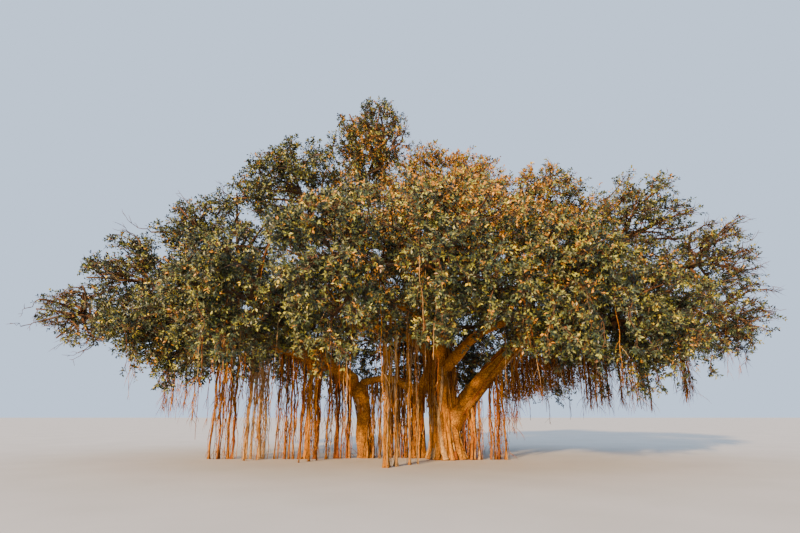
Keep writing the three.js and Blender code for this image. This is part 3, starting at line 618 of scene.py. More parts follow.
# %% Trunk skin
HEART_RADIUS = 0.42
PILLARS = 9
PILLAR_OUT = 0.34
PILLAR_RADIUS = 0.165
SOFTNESS = 9
FOOT_HEIGHT = 0.55
FOOT_SPREAD = 0.55
TRUNK_NECK = 3.5
TRUNK_TOP = 4.7
TRUNK_SIDES = 200
TRUNK_RINGS = 150


def bark_distance(bearing, height):
    """A soft maximum, the ninth root of a sum of ninth powers, of the heart's radius and of the far
    side of nine round pillars that lean out and thicken towards the ground. From the neck up a
    quarter ellipse closes it inside the bough above."""
    spread = 1 + FOOT_SPREAD * np.exp(-height / FOOT_HEIGHT)
    closing = np.sqrt(1 - np.clip((height - TRUNK_NECK) / (TRUNK_TOP - TRUNK_NECK), 0, 1) ** 2)
    total = np.full(bearing.shape, HEART_RADIUS**SOFTNESS)
    for pillar in range(PILLARS):
        away = bearing - (pillar + 0.5 * chance(pillar, 3)) * TURN / PILLARS
        out = PILLAR_OUT * (0.85 + 0.3 * chance(pillar, 5)) * spread
        radius = PILLAR_RADIUS * (0.8 + 0.5 * chance(pillar, 7)) * spread
        across = np.abs(out * np.sin(away))
        far = out * np.cos(away) + np.sqrt(np.maximum(radius**2 - across**2, 0))
        total = total + np.where((across < radius) & (np.cos(away) > 0), far, 0) ** SOFTNESS
    return closing * total ** (1 / SOFTNESS)


def trunk_part():
    """A grid of bearing by height: axis + bark distance * (1 + ripples) outwards."""
    height = np.linspace(0, TRUNK_TOP, TRUNK_RINGS)[:, None]
    bearing = (TURN * np.arange(TRUNK_SIDES) / TRUNK_SIDES)[None, :]
    sway = 0.10 * np.sin(TURN * 0.21 * height + 0.6) + 0.05 * np.sin(TURN * 0.57 * height)
    fine = ripples(bearing, height, [(13, 0.35, 0.06), (23, 0.5, 0.04), (41, 0.8, 0.02)], 4)
    cracks = -0.08 * np.maximum(0, ripples(bearing, height, [(31, 0.4, 1), (17, 0.9, 0.7)], 9) - 0.7)
    distance = bark_distance(bearing + sway, height) * (1 + fine + cracks)
    axis = trunk_axis(height[:, 0])
    body = axis[:, None] + distance[..., None] * level_direction(bearing)
    corners = np.concatenate([body.reshape(-1, 3), axis[[0, -1]]])
    _, quads, fans = swept(axis[None], np.ones((1, TRUNK_RINGS)), TRUNK_SIDES)
    return corners, quads, fans, 0


# %% [markdown]
# Later roots have climbed down the trunk and stuck to it. They are tubes laid on the same bark
# distance, so that they follow every hollow, and each takes one of the root colours.

# %% Roots that have climbed down the trunk and stuck to it
CLINGING_RINGS = 80
# Numbers of a bark's materials, BARK and then the root finishes, each as often as it is wanted.
CLINGING_TINTS = [0, 0, 1, 2, 2, 3]


def clinging_part(count, thick, tops, seed):
    """Tubes on the trunk's skin: each keeps a bearing that swings as it drops, at the bark distance
    less a third of its own radius, thickens at its foot and sinks into the bark at its top."""
    rng = np.random.default_rng(seed)
    share = np.linspace(0, 1, CLINGING_RINGS)[None, :]
    height = rng.uniform(*tops, (count, 1)) * (1 - share)
    bearing = TURN * (np.arange(count)[:, None] + rng.uniform(0, 0.9, (count, 1))) / count
    pace = rng.uniform(0.12, 0.4, (count, 1))
    start = rng.uniform(0, TURN, (count, 1))
    bearing = bearing + rng.uniform(0.05, 0.3, (count, 1)) * np.sin(TURN * pace * height + start)
    radius = rng.uniform(*thick, (count, 1)) * (1 + 0.7 * np.exp(-height / 0.3))
    radius = radius * (1 + 0.12 * np.sin(height * 17 + start)) * (1 - 0.75 * (1 - share) ** 3)
    distance = bark_distance(bearing, height) - 0.3 * radius - 0.12 * (1 - share) ** 6
    paths = trunk_axis(height) + distance[..., None] * level_direction(bearing)
    return *swept(paths, radius, 8), rng.choice(CLINGING_TINTS, count)


trunk_parts = [
    trunk_part(),
    clinging_part(24, thick=(0.05, 0.095), tops=(2.6, 4.3), seed=12),
    clinging_part(44, thick=(0.014, 0.036), tops=(1.6, 4.3), seed=13),
]
make_piece("trunk_bark", trunk_parts, [BARK, *ROOT_FINISHES], ["trunk"])

# %% [markdown]
# ## Stems and boughs
# A bough is thickest where it leaves its parent, in a collar, and tapers evenly. Its bark carries
# the same ridges, which wander round it, and low swellings where old shoots were shed. Thin roots
# creep along the big ones.

# %% Bark over each limb
# Steps along and sides round a long limb, and a side bough.
LONG_GRID, SHORT_GRID = (150, 34), (72, 20)
# How much wider a limb is at the ground and how high up that shows, in metres; and the same at its
# parent, in radii.
FOOT_COLLAR, FOOT_COLLAR_HEIGHT = 0.55, 0.25
BRANCH_COLLAR, BRANCH_COLLAR_RADII = 0.35, 2.2
NARROWEST_END = 0.02
CREEPING_RINGS = 60
CREEPING_TINTS = [0, 1, 2, 2, 3]


def limb_part(name, seed):
    """Rings along the limb's curve: taper * collar * rounding * (1 + swellings + ridges). The collar
    fades by the exponential of the distance from the foot, and the rounding is a quarter ellipse at
    each end that doesn't stand on the ground."""
    through, thick = guides[name]
    steps, sides = LONG_GRID if name in LONG_BOUGHS or name in STEMS else SHORT_GRID
    route = smooth_route(through, steps)
    run = np.concatenate([[0], np.cumsum(np.linalg.norm(np.diff(route, axis=0), axis=1))])[:, None]
    angle = (TURN * np.arange(sides) / sides)[None, :]
    taper = thick[0] + (thick[1] - thick[0]) * run / run[-1]
    from_end = np.clip((run[-1] - run) / thick[1], NARROWEST_END, 1)
    if route[0, 2] == 0:
        taper = taper * (1 + FOOT_COLLAR * np.exp(-run / FOOT_COLLAR_HEIGHT))
        from_start = 1
    else:
        taper = taper * (1 + BRANCH_COLLAR * np.exp(-run / (BRANCH_COLLAR_RADII * thick[0])))
        from_start = np.clip(run / thick[0], NARROWEST_END, 1)
    rounding = np.sqrt((1 - (1 - from_end) ** 2) * (1 - (1 - from_start) ** 2))
    swellings = ripples(angle, run, [(1, 0.35, 0.06), (2, 0.6, 0.06)], seed)
    ridges = ripples(angle, run, [(4, 0.2, 0.07), (7, 0.3, 0.06), (12, 0.5, 0.03)], seed + 1)
    wander = 0.35 * thick[1] * np.sin(run * np.array([1.7, 1.3, 1.9]) + seed)
    wander = wander * np.sin(math.pi * run / run[-1])
    radii = (taper * rounding * (1 + swellings + ridges))[None]
    return *swept((route + wander)[None], radii, sides), 0


def creeping_part(name, count, seed):
    """Thin roots that wind a little way round a limb, half sunk in its bark."""
    rng = np.random.default_rng(seed)
    through, thick = guides[name]
    route = smooth_route(through, CREEPING_RINGS - 1)[None]
    across, third = frames_along(route)
    share = np.linspace(0, 1, CREEPING_RINGS)[None, :]
    begin, length = rng.uniform(0, 0.35, (count, 1)), rng.uniform(0.4, 0.65, (count, 1))
    spot = begin + length * share
    angle = rng.uniform(0, TURN, (count, 1)) + rng.uniform(-1.2, 1.2, (count, 1)) * share
    angle = angle + 0.3 * np.sin(9 * spot + begin * 20)
    radius = rng.uniform(0.02, 0.065, (count, 1)) * (1 - 0.6 * share)
    place = np.clip(spot, 0, 1) * (CREEPING_RINGS - 1)
    index = np.minimum(place.astype(int), CREEPING_RINGS - 2)
    rest = (place - index)[..., None]
    middle = route[0, index] * (1 - rest) + route[0, index + 1] * rest
    body = thick[0] + (thick[1] - thick[0]) * spot
    ring = np.cos(angle)[..., None] * across[0, index] + np.sin(angle)[..., None] * third[0, index]
    paths = middle + (body * 0.98)[..., None] * ring
    return *swept(paths, radius, 6), rng.choice(CREEPING_TINTS, count)


CREEPING = {
    "left_stem": 26,
    "middle_stem": 18,
    "cross_bough": 10,
    "top": 18,
    "right_outer": 20,
    "left_tip": 18,
}
for seed, name in enumerate(guides):
    node = name if name in STEMS else "bough_" + name
    parts = [limb_part(name, 10 + 3 * seed)]
    if name in CREEPING:
        parts.append(creeping_part(name, CREEPING[name], 60 + seed))
    make_piece(node + "_bark", parts, [BARK, *ROOT_FINISHES], [node])

# %% [markdown]
# ## Aerial roots
# They start as threads from the underside of a bough. Where one reaches the ground it pulls taut
# and thickens to a post; where it hangs free it stays thin, sways, and frays to a broom of fibres.
# A row under a bough has a few thick ones, many thin ones between them, and every age of colour; the
# darkest roots are painted shade between the others.

# %% Rows under the boughs
Row = namedtuple("Row", "parent x half strands thick low threads fibres drift", defaults=[None])
# A row hangs from its parent within half a length of x. Its thick strands reach down to low, which is
# 0 where they have rooted, and drift leads their feet aside.
ROOT_ROWS = {
    "far_left": Row("left_tip", -10.7, 0.75, 4, 0.032, 1.35, 14, 14),
    "left_screen": Row("left_tip", -8.8, 0.5, 5, 0.042, 0, 30, 6),
    "left_posts": Row("left_tip", -7.5, 0.43, 4, 0.062, 0, 22, 6),
    "left_cords": Row("left_tip", -6.3, 0.35, 4, 0.038, 0, 26, 6),
    "left_pillars": Row("left_tip", -5.35, 0.33, 5, 0.07, 0, 22, 6),
    "stem_side": Row("left_tip", -4.45, 0.26, 3, 0.055, 0, 20, 6),
    "pale_ropes": Row("front_middle", -2.25, 0.3, 4, 0.052, 0, 8, 4),
    "middle_ropes": Row("cross_bough", -1.95, 0.42, 5, 0.042, 0, 24, 4),
    "trunk_side": Row("right_outer", 1.05, 0.33, 5, 0.06, 0, 26, 6, (-0.06, -0.25, 0)),
    "right_pillars": Row("right_outer", 1.95, 0.3, 4, 0.05, 0, 22, 10),
    "near_curtain": Row("right_outer", 3.3, 0.6, 5, 0.05, 2.2, 36, 18),
    "middle_curtain": Row("right_outer", 4.7, 0.7, 5, 0.055, 2.6, 38, 20),
    "right_curtain": Row("right_outer", 6.1, 0.45, 5, 0.055, 1.8, 30, 20),
    "far_curtain": Row("right_outer", 7.7, 0.65, 5, 0.05, 1.7, 30, 18),
    "far_right": Row("right_tip", 9.6, 0.28, 3, 0.045, 2.1, 14, 18),
}
FINE_ROWS = {
    # name of the row that these, too thin for the frame, hang among
    "left_posts": [Row("left_low", -7.6, 0.5, 3, 0.02, 0, 14, 4)],
    "left_pillars": [Row("front_left", -5.1, 0.4, 3, 0.026, 0, 16, 4)],
    "stem_side": [Row("left_tip", -3.95, 0.22, 3, 0.045, 0, 14, 5)],
    "pale_ropes": [Row("front_middle", -1.4, 0.25, 2, 0.028, 0, 8, 4)],
    "middle_ropes": [
        Row("cross_bough", -2.95, 0.35, 4, 0.036, 0, 18, 4, (0, -0.2, 0)),
        Row("cross_bough", -1.3, 0.25, 4, 0.042, 0, 16, 4, (0, -0.25, 0)),
        Row("cross_bough", -2.2, 0.9, 9, 0.036, 0, 16, 3, (0, 0.3, 0)),
        Row("back_left", -1.6, 0.7, 8, 0.04, 0, 14, 3, (0, 0.2, 0)),
        Row("top", -0.55, 0.33, 5, 0.05, 1.6, 22, 8, (-0.12, -0.75, 0)),
    ],
    "trunk_side": [
        Row("top", -0.1, 0.16, 4, 0.045, 1.9, 14, 8, (0.5, -0.75, 0)),
        Row("right_outer", 0.75, 0.4, 6, 0.04, 0, 16, 4, (0, 0.25, 0)),
    ],
    "right_pillars": [Row("right_outer", 2.6, 0.3, 3, 0.03, 0.9, 16, 10)],
}
ROOT_SEED = 20
SEED_STEP = 13
STRAND_SWAY = 0.22
UNEVEN_TIPS = 0.7
PALE_ROWS = ("pale_ropes", "left_posts")


def bough_at(parent, x):
    """The middle of a bough and its radius at a given x."""
    shares = np.linspace(0, 1, 101)
    share = min(shares, key=lambda each: abs(point_along(parent, each)[0][0] - x))
    point, radius, _ = point_along(parent, share)
    return point, radius


def strand_ends(row, seed):
    """Top, tip and radius of each thick strand of a row, where the frame's solids have them. The top
    lies inside the bough, so that the strand comes out of the bark."""
    tops, tips, radii = [], [], []
    for strand in range(row.strands):
        place = (strand + 0.5 + 0.5 * (chance(strand, seed) - 0.5)) / row.strands
        top, _ = bough_at(row.parent, row.x + (2 * place - 1) * row.half)
        sway = STRAND_SWAY * np.array([chance(strand, seed + 3) - 0.5, chance(strand, seed + 5) - 0.5, 0])
        foot = top + sway + (row.drift or (0, 0, 0))
        foot[2] = row.low + UNEVEN_TIPS * chance(strand, seed + 1) if row.low else 0
        tops.append(top)
        tips.append(foot)
        radii.append(row.thick * (0.5 + 0.7 * chance(strand, seed + 2)))
    return np.array(tops), np.array(tips), np.array(radii)


# %% [markdown]
# A thick root is seldom alone: younger ones wind round it until they grow into it. So a rope is a core
# and three thinner tubes on its surface. Beside the ropes hang single threads, and brooms of fibres,
# which are only a few faces each because there are thousands.

# %% Ropes, threads and frayed ends
LEVEL = np.array([1, 1, 0])
SWAY_WAVES = (0.35, 0.9)
ROPE_RINGS = 40
ROPE_SIDES = 10
ROPE_TURNS = (0.0, 2.1, 4.2)
THREAD_RINGS = 16
ROOTED_THREADS = 0.45
FIBRE_RINGS = 4
LOWEST_FIBRE = 0.02


def hanging_paths(tops, tips, rings, sway, rng):
    """Lines from top to tip that swing by two slow sines, whose size grows from nothing at both ends."""
    share = np.linspace(0, 1, rings)[None, :, None]
    line = tops[:, None] * (1 - share) + tips[:, None] * share
    length = np.abs(tops[:, 2] - tips[:, 2])[:, None, None]
    swing = 0
    for waves in SWAY_WAVES:
        phase = rng.uniform(0, TURN, (len(tops), 1, 3))
        swing = swing + np.sin(TURN * waves * share * length + phase) / (1 + waves)
    fade = np.sin(math.pi * share) ** 0.7
    return line + swing * fade * sway * LEVEL


def thinning(rings, loss):
    """Factors that fall evenly from 1 at a root's top by the given loss at its tip."""
    return 1 - loss * np.linspace(0, 1, rings)[None]


def rope_parts(tops, tips, radii, rooted, rng):
    """Each thick strand is a core with three thinner roots wound loosely round it."""
    paths = hanging_paths(tops, tips, ROPE_RINGS, 0.035, rng)
    height = paths[..., 2]
    foot = 1 + 0.9 * np.exp(-height / 0.12) if rooted else thinning(ROPE_RINGS, 0.6)
    lumps = 1 + 0.1 * np.sin(height * 9 + tops[:, :1] * 40)
    core = radii[:, None] * foot * lumps * 0.9
    angle = (TURN * np.arange(ROPE_SIDES) / ROPE_SIDES)[None, None, :]
    ridges = 1 + 0.12 * np.sin(3 * angle + 4 * height[..., None] + tops[:, :1, None] * 30)
    parts = [(paths, core[..., None] * ridges, ROPE_SIDES)]
    for turn in ROPE_TURNS:
        wind = turn + rng.uniform(0.7, 1.6, (len(tops), 1)) * height + tops[:, :1] * 9
        parts.append((paths + level_direction(wind) * core[..., None] * 0.8, core * 0.42, 6))
    return parts


def thread_part(row, rng):
    """Thin roots between the thick ones, or close beside them in bundles where the row hangs free. Each
    starts on the bough's underside and ends in the air, or on the ground where the row has rooted."""
    count = row.threads
    spots = row.x + rng.uniform(-1.08, 1.08, count) * row.half
    if row.low:
        bundle = (2 * (rng.integers(0, row.strands, count) + 0.5) / row.strands - 1) * row.half
        spots = row.x + bundle + rng.normal(0, 0.09, count)
    tops = np.empty((count, 3))
    for index, spot in enumerate(spots):
        top, radius = bough_at(row.parent, spot)
        tops[index] = top + np.array([0, rng.uniform(-0.9, 0.9) * radius, -0.3 * radius])
    tips = tops + np.stack([rng.normal(0, 0.07, count), rng.normal(0, 0.13, count), 0 * spots], -1)
    if row.drift:
        tips = tips + np.array(row.drift) * rng.uniform(0.2, 1, (count, 1))
    tips[:, 2] = row.low + (tops[:, 2] - row.low) * 0.55 * rng.uniform(0, 1, count) ** 1.5
    if not row.low:
        tips[:, 2] = np.where(rng.uniform(0, 1, count) < ROOTED_THREADS, 0, tips[:, 2])
    paths = hanging_paths(tops, tips, THREAD_RINGS, 0.07, rng)
    return paths, rng.uniform(0.007, 0.02, (count, 1)) * thinning(THREAD_RINGS, 0.45), 5


def fibre_part(paths, each, rng):
    """Brooms: fine fibres that leave the lower part of each hanging root and droop beside it."""
    count, rings, _ = paths.shape
    share = rng.uniform(0.35, 1, (count, each)) ** 0.8
    index = np.minimum((share * (rings - 1)).astype(int), rings - 1)
    start = paths[np.arange(count)[:, None], index].reshape(-1, 3)
    length = rng.uniform(0.18, 0.6, len(start))
    aside = rng.normal(0, 0.3, (len(start), 2)) * length[:, None]
    tip = start + np.concatenate([aside, -length[:, None]], axis=1)
    tip[:, 2] = np.maximum(tip[:, 2], LOWEST_FIBRE)
    bend = (start + tip) / 2 + np.concatenate([aside * 0.35, 0.05 * length[:, None]], axis=1)
    along = np.linspace(0, 1, FIBRE_RINGS)[None, :, None]
    curve = bezier(start[:, None], bend[:, None], tip[:, None], along)
    return curve, rng.uniform(0.005, 0.01, (len(start), 1)) * thinning(FIBRE_RINGS, 0.4), THORN_SIDES


def tinted(part, weights, rng):
    """Sweeps a part, and deals each of its tubes one finish by the given weights."""
    paths, radii, sides = part
    tubes = thorns(paths, radii) if sides == THORN_SIDES else swept(paths, radii, sides)
    return *tubes, rng.choice(len(weights), len(paths), p=np.array(weights) / sum(weights))


# Shares of pale, tan, red brown and dark, painted-shade roots: in the pale rows, in rooted and in
# hanging ones.
PALE_SHARES, ROOTED_SHARES, HANGING_SHARES = (6, 3, 1, 0), (2, 6, 3, 2), (1, 6, 3, 3)


def root_row(name, number):
    """All the tubes of a row and of the fine rows beside it: ropes, threads and the fibres that fray
    from both."""
    rng = np.random.default_rng(300 + number)
    tubes = []
    for row in [ROOT_ROWS[name], *FINE_ROWS.get(name, [])]:
        rooted = row.low == 0
        shares = PALE_SHARES if name in PALE_ROWS else ROOTED_SHARES if rooted else HANGING_SHARES
        parts = rope_parts(*strand_ends(row, ROOT_SEED + number * SEED_STEP), rooted, rng)
        threads = thread_part(row, rng)
        parts += [threads, fibre_part(threads[0], row.fibres, rng)]
        if not rooted:
            parts.append(fibre_part(parts[0][0], row.fibres * 3, rng))
        tubes += [tinted(part, shares, rng) for part in parts]
    return tubes


for number, name in enumerate(ROOT_ROWS):
    make_piece(name + "_roots", root_row(name, number), ROOT_FINISHES, ["roots_" + name])

# %% [markdown]
# ## The crown
# One rule grows everything from the bough's end to the last twig. A limb sends out smaller limbs
# whose tips are spread by the golden angle over a small ellipsoid round its own tip, so no two lie
# alike and none is left out. Applied three times it gives limbs, branchlets and twigs. What would
# leave the mass's own space is skipped, which keeps the crown's outline and the gaps between masses.

# %% Growing one level from another
def spread_directions(axes, count):
    """Golden angle round each axis: the first direction lies on the axis and the last near its back."""
    guide = np.where(np.abs(axes[:, 2:]) > 0.8, [[0.0, 1.0, 0.0]], [UP])
    across = unit(np.cross(axes, guide))
    third = np.cross(axes, across)
    index = np.arange(count)
    height = 1 - 2 * index / count
    level = np.sqrt(np.maximum(0, 1 - height**2))
    turn = index * GOLDEN_ANGLE
    return (axes[:, None] * height[:, None] + across[:, None] * (level * np.cos(turn))[:, None]
            + third[:, None] * (level * np.sin(turn))[:, None])


Limbs = namedtuple("Limbs", "start bend tip")


def bent_limbs(start, tip, rough, rise, rng):
    """Limbs between two sets of points: the bend is their middle, moved by the limb's length times a
    random step and a rise."""
    span = np.linalg.norm(tip - start, axis=-1, keepdims=True)
    bend = (start + tip) / 2 + span * (rng.normal(0, rough, start.shape) + rise * UP)
    return Limbs(*(points.reshape(-1, 3) for points in (start, bend, tip)))


def along_limbs(limbs, share):
    """Points of every limb at the given shares of its curve."""
    return bezier(*(points[:, None] for points in limbs), share)


def offshoots(parent, count, reach, lowest, rng):
    """Smaller limbs of each parent. The forward ones leave it near its tip and the backward ones
    further down, and each rises a little on its way to its tip."""
    axes = unit(parent.tip - parent.start)
    number = len(axes)
    directions = spread_directions(axes, count) + rng.normal(0, 0.22, (number, count, 3))
    tip = parent.tip[:, None] + directions * reach * rng.uniform(0.7, 1.2, (number, count, 1))
    back = (np.arange(count) / (count - 1))[None, :, None] * rng.uniform(0.6, 1, (number, count, 1))
    start = along_limbs(parent, 1 - (1 - lowest) * back)
    return bent_limbs(start, tip, 0.12, 0.1, rng)


def chosen(limbs, keep):
    """Only the limbs that the mask keeps, or those with the given numbers."""
    return Limbs(*(points[keep] for points in limbs))


def tapered(paths, thick, thin):
    """One radius a ring: thick at the start of each path and thin at its tip."""
    return np.broadcast_to(thick + (thin - thick) * np.linspace(0, 1, paths.shape[1]), paths.shape[:2])


def limb_tubes(limbs, rings, thick, thin, sides):
    """Paths and tapering radii for a set of limbs."""
    paths = along_limbs(limbs, np.linspace(0, 1, rings)[None, :, None])
    return paths, tapered(paths, thick, thin), sides


# %% [markdown]
# Between the boughs to the front and those to the top, light falls in from above, so leaves close the
# crown there. The frame has no bough for them, so their stem leaves the trunk's head, and they count
# towards the solid of the front mass below them.

# %% A space for leaves alone
FILLS = {"front_heart": "front_centre"}
MASSES["front_heart"] = Mass((-0.4, -2.7, 8.4), (4.2, 1.9, 1.7), 0, 0.7)
MIDDLES, REACHES, MASS_NUMBER = measured_masses()

# %% [markdown]
# A limb reaches further where the crown goes on beyond its own mass, so that the valleys between
# masses fill. Its twigs stop at the crown's edge, which swells and sinks by a slow wave: a crown is
# never as round as the spaces it is planned with.

# %% Limbs, branchlets and twigs of a mass
LIMBS = 16
BRANCHLETS = 9
TWIGS = 26
# Shares of a mass's reach.
BRANCHLET_REACH = 0.4
TWIG_REACH = 0.17
EDGE_WAVE = 0.07
CROWN_EDGE = 0.91
TRIMS = {
    # mass: how far short of the crown's edge its sprays stop, as a share of its reach
    "left_tip": 0.16,
    "left_outer": 0.12,
    "left_shoulder": 0.14,
    "upper_left": 0.06,
    "top": 0.07,
    "upper_right": 0.09,
}
FRAME_ROOM = 0.25
MOST_STRETCH = 1.4
CROWN_MIDDLE = np.array([-1.5, 0.0, 4.5])
FILL_STEM = 0.13


def stem_of(name):
    """The limb that goes straight on from the end of the mass's bough, then turns to its middle."""
    number = MASS_NUMBER[name]
    if name in guides:
        point, radius, along = point_along(name, 1)
        return point, point + along * 0.5, MIDDLES[number], radius
    point, _, _ = point_along("trunk", 0.9)
    return point, (point + MIDDLES[number]) / 2 + 0.2 * UP, MIDDLES[number], FILL_STEM


def grown_mass(name):
    """Stem, limbs, branchlets and twigs of one mass, as far as its own space goes. A limb grows longer
    where the crown goes on beyond the reach of its mass, so that the valleys fill."""
    number = MASS_NUMBER[name]
    rng = np.random.default_rng(900 + number)
    reach = REACHES[number]
    start, bend, tip, radius = stem_of(name)
    stem = Limbs(start[None], bend[None], tip[None])
    outward = unit(MIDDLES[number] - CROWN_MIDDLE)[None]
    aim = spread_directions(outward, LIMBS)[0] + rng.normal(0, 0.12, (LIMBS, 3))
    room = 1 / np.maximum(crown_depth(tip + unit(aim) * reach)[:, None], 1 / MOST_STRETCH)
    limb_tip = tip + unit(aim) * reach * rng.uniform(0.5, 0.75, (LIMBS, 1)) * room
    limb_start = bezier(start, bend, tip, rng.uniform(0.55, 1, (LIMBS, 1)))
    limbs = bent_limbs(limb_start, limb_tip, 0.08, 0.12, rng)
    edge = CROWN_EDGE - TRIMS.get(name, 0)
    branchlets = offshoots(limbs, BRANCHLETS, reach * BRANCHLET_REACH, 0.4, rng)
    branchlets = chosen(branchlets, fits(branchlets.tip, number, edge))
    twigs = offshoots(branchlets, TWIGS, reach * TWIG_REACH, 0.45, rng)
    twigs = chosen(twigs, fits(twigs.tip, number, edge))
    return stem, radius, limbs, branchlets, twigs, rng


def fits(points, number, edge):
    """Whether each point lies inside the crown, whose edge swells and sinks by a slow wave, and nearer
    to its own space than to a neighbour's."""
    x, y, z = points.T
    wave = np.sin(2.4 * x + 1.5 * np.sin(1.7 * z)) * np.cos(2.2 * z + 1.5 * np.sin(1.9 * y))
    in_frame = ((points > cad_low - FRAME_ROOM) & (points < cad_high + FRAME_ROOM)).all(axis=1)
    in_crown = crown_depth(points) < edge + EDGE_WAVE * wave
    return in_frame & in_crown & (room_to_others(points, number) > 0)


# %% [markdown]
# ## Leaves
# A fig leaf is an oval with a short point, folded a little along its midrib. Four corners and two
# halves are enough at this distance, and leave room for far more leaves. Leaves sit round the outer
# part of a twig by the golden angle, lean forward and turn their faces up. Three leaves that opened
# together make one small spray and share an age, and a twig bears three such sprays.

# %% Leaf outline and sprays
LEAF_LENGTH = 0.13
LEAF_WIDTH = 0.07
LEAVES_A_SPRAY = 3
LEAVES_A_TWIG = 3 * LEAVES_A_SPRAY
# Each corner is a share of the length, of the half width, and of the half width upwards.
LEAF_OUTLINE = np.array([
    (0.0, 0.0, 0.0),
    (0.45, 1.0, 0.35),
    (1.0, 0.0, -0.15),
    (0.45, -1.0, 0.35),
])
LEAF_HALVES = np.array([(0, 2, 1), (0, 3, 2)])


def spray_leaves(twigs, rng):
    """Corners of every leaf: base + length * share * along + half width * (side + lift)."""
    count = len(twigs.tip)
    every_leaf = (count, LEAVES_A_TWIG)
    order = np.arange(LEAVES_A_TWIG)
    share = (0.35 + 0.65 * (order + 0.6) / LEAVES_A_TWIG)[None, :, None]
    base = along_limbs(twigs, share)
    forward = unit(twigs.tip - twigs.start)[:, None]
    guide = unit(np.cross(forward, UP + 0.01))
    third = np.cross(forward, guide)
    turn = order[None, :, None] * GOLDEN_ANGLE + rng.uniform(0, TURN, (count, 1, 1))
    outward = guide * np.cos(turn) + third * np.sin(turn)
    lean = 0.35 + 0.5 * share**2
    along = unit(forward * lean + outward * 0.8 + rng.normal(0, 0.25, (*every_leaf, 3)))
    outside = unit(twigs.tip - CROWN_MIDDLE)[:, None]
    facing = UP * 0.5 + outside * 0.7 + rng.normal(0, 0.5, (*every_leaf, 3))
    side = unit(np.cross(facing, along))
    lift = np.cross(along, side)
    length = LEAF_LENGTH * rng.uniform(0.75, 1.15, (*every_leaf, 1, 1))
    half = length * LEAF_WIDTH / LEAF_LENGTH / 2
    out, aside, up = (LEAF_OUTLINE[:, axis, None] for axis in range(3))
    return (base[:, :, None] + length * out * along[:, :, None]
            + half * aside * side[:, :, None] + half * up * lift[:, :, None])


# %% [markdown]
# To the right of its top the crown has turned golden, and the rest is green of several ages. So the
# age of a spray is drawn by weights that slide from a green set to a golden one. Some masses are thin
# at one side, and drop a part of their sprays there.

# %% Which spray takes which age
GOLDEN_PLACE = np.array([0.9, -1.0, 10.6])
GOLDEN_REACH = np.array([4.6, 9.0, 3.8])
AGES = np.array([
    # deep green and painted shade, full green, olive, yellow green, golden, russet, clear yellow
    (31, 31, 22, 15, 1, 1, 1.5),
    (4, 4, 9, 17, 56, 7, 3),
], float)
THINNING = {"top": 0.4, "left_tip": -0.12, "left_outer": -0.25, "right_outer": 0.2,
            "right_tip": 0.15, "right_upper": 0.15, "right_low": 0.2}


def ages_of(places, rng):
    """One age a spray. The weights slide from the green set to the golden set near the golden place,
    by the exponential of the squared distance in reaches, and drift with a slow sine through the crown."""
    away = np.linalg.norm((places - GOLDEN_PLACE) / GOLDEN_REACH, axis=1)
    drift = 0.1 * np.sin(places[:, 0] * 1.1 + 2 * np.sin(places[:, 2] * 0.9))
    golden = np.clip(1.15 * np.exp(-(away**2)) + drift, 0, 1)[:, None]
    weights = AGES[0] / AGES[0].sum() * (1 - golden) + AGES[1] / AGES[1].sum() * golden
    draw = rng.uniform(0, 1, (len(places), 1))
    return (np.cumsum(weights, axis=1) < draw).sum(axis=1).clip(0, AGES.shape[1] - 1)


def leafy_share(places, name):
    """The share of sprays that a mass keeps, less a part that grows evenly to the right across it."""
    mass = MASSES[name]
    return mass.keep - THINNING.get(name, 0) * (places[:, 0] - mass.middle[0]) / mass.reach[0]


def leaves_part(twigs, rng):
    """All the leaves of a mass as one part, tinted by spray."""
    corners = spray_leaves(twigs, rng)
    sprays = corners[:, ::LEAVES_A_SPRAY, 0].reshape(-1, 3)
    leaves = corners.reshape(-1, len(LEAF_OUTLINE), 3)
    return *repeated(leaves, np.empty((0, 4), int), LEAF_HALVES), ages_of(sprays, rng)


# %% [markdown]
# At the rim, crooked shoots have lost their leaves and stand out against the sky, most of all at the
# far left and right. A random walk with a heading gives their zigzag.

# %% Bare shoots at the rim
BARE_SHOOTS = {
    # mass: how many, and how much they rise (or sink) for each metre
    "left_tip": (16, -0.9),
    "left_outer": (8, 0.3),
    "left_low": (5, -0.6),
    "left_shoulder": (6, 0.5),
    "upper_left": (4, 0.3),
    "top": (6, 0.1),
    "upper_right": (3, 0.1),
    "right_upper": (9, 0.4),
    "right_outer": (12, 0.2),
    "right_tip": (12, -0.3),
}
SHOOT_POINTS = 9
SHOOT_LENGTHS = (0.8, 1.8)
SHOOT_EDGE = 1.08
SHOOT_SIDES = 4


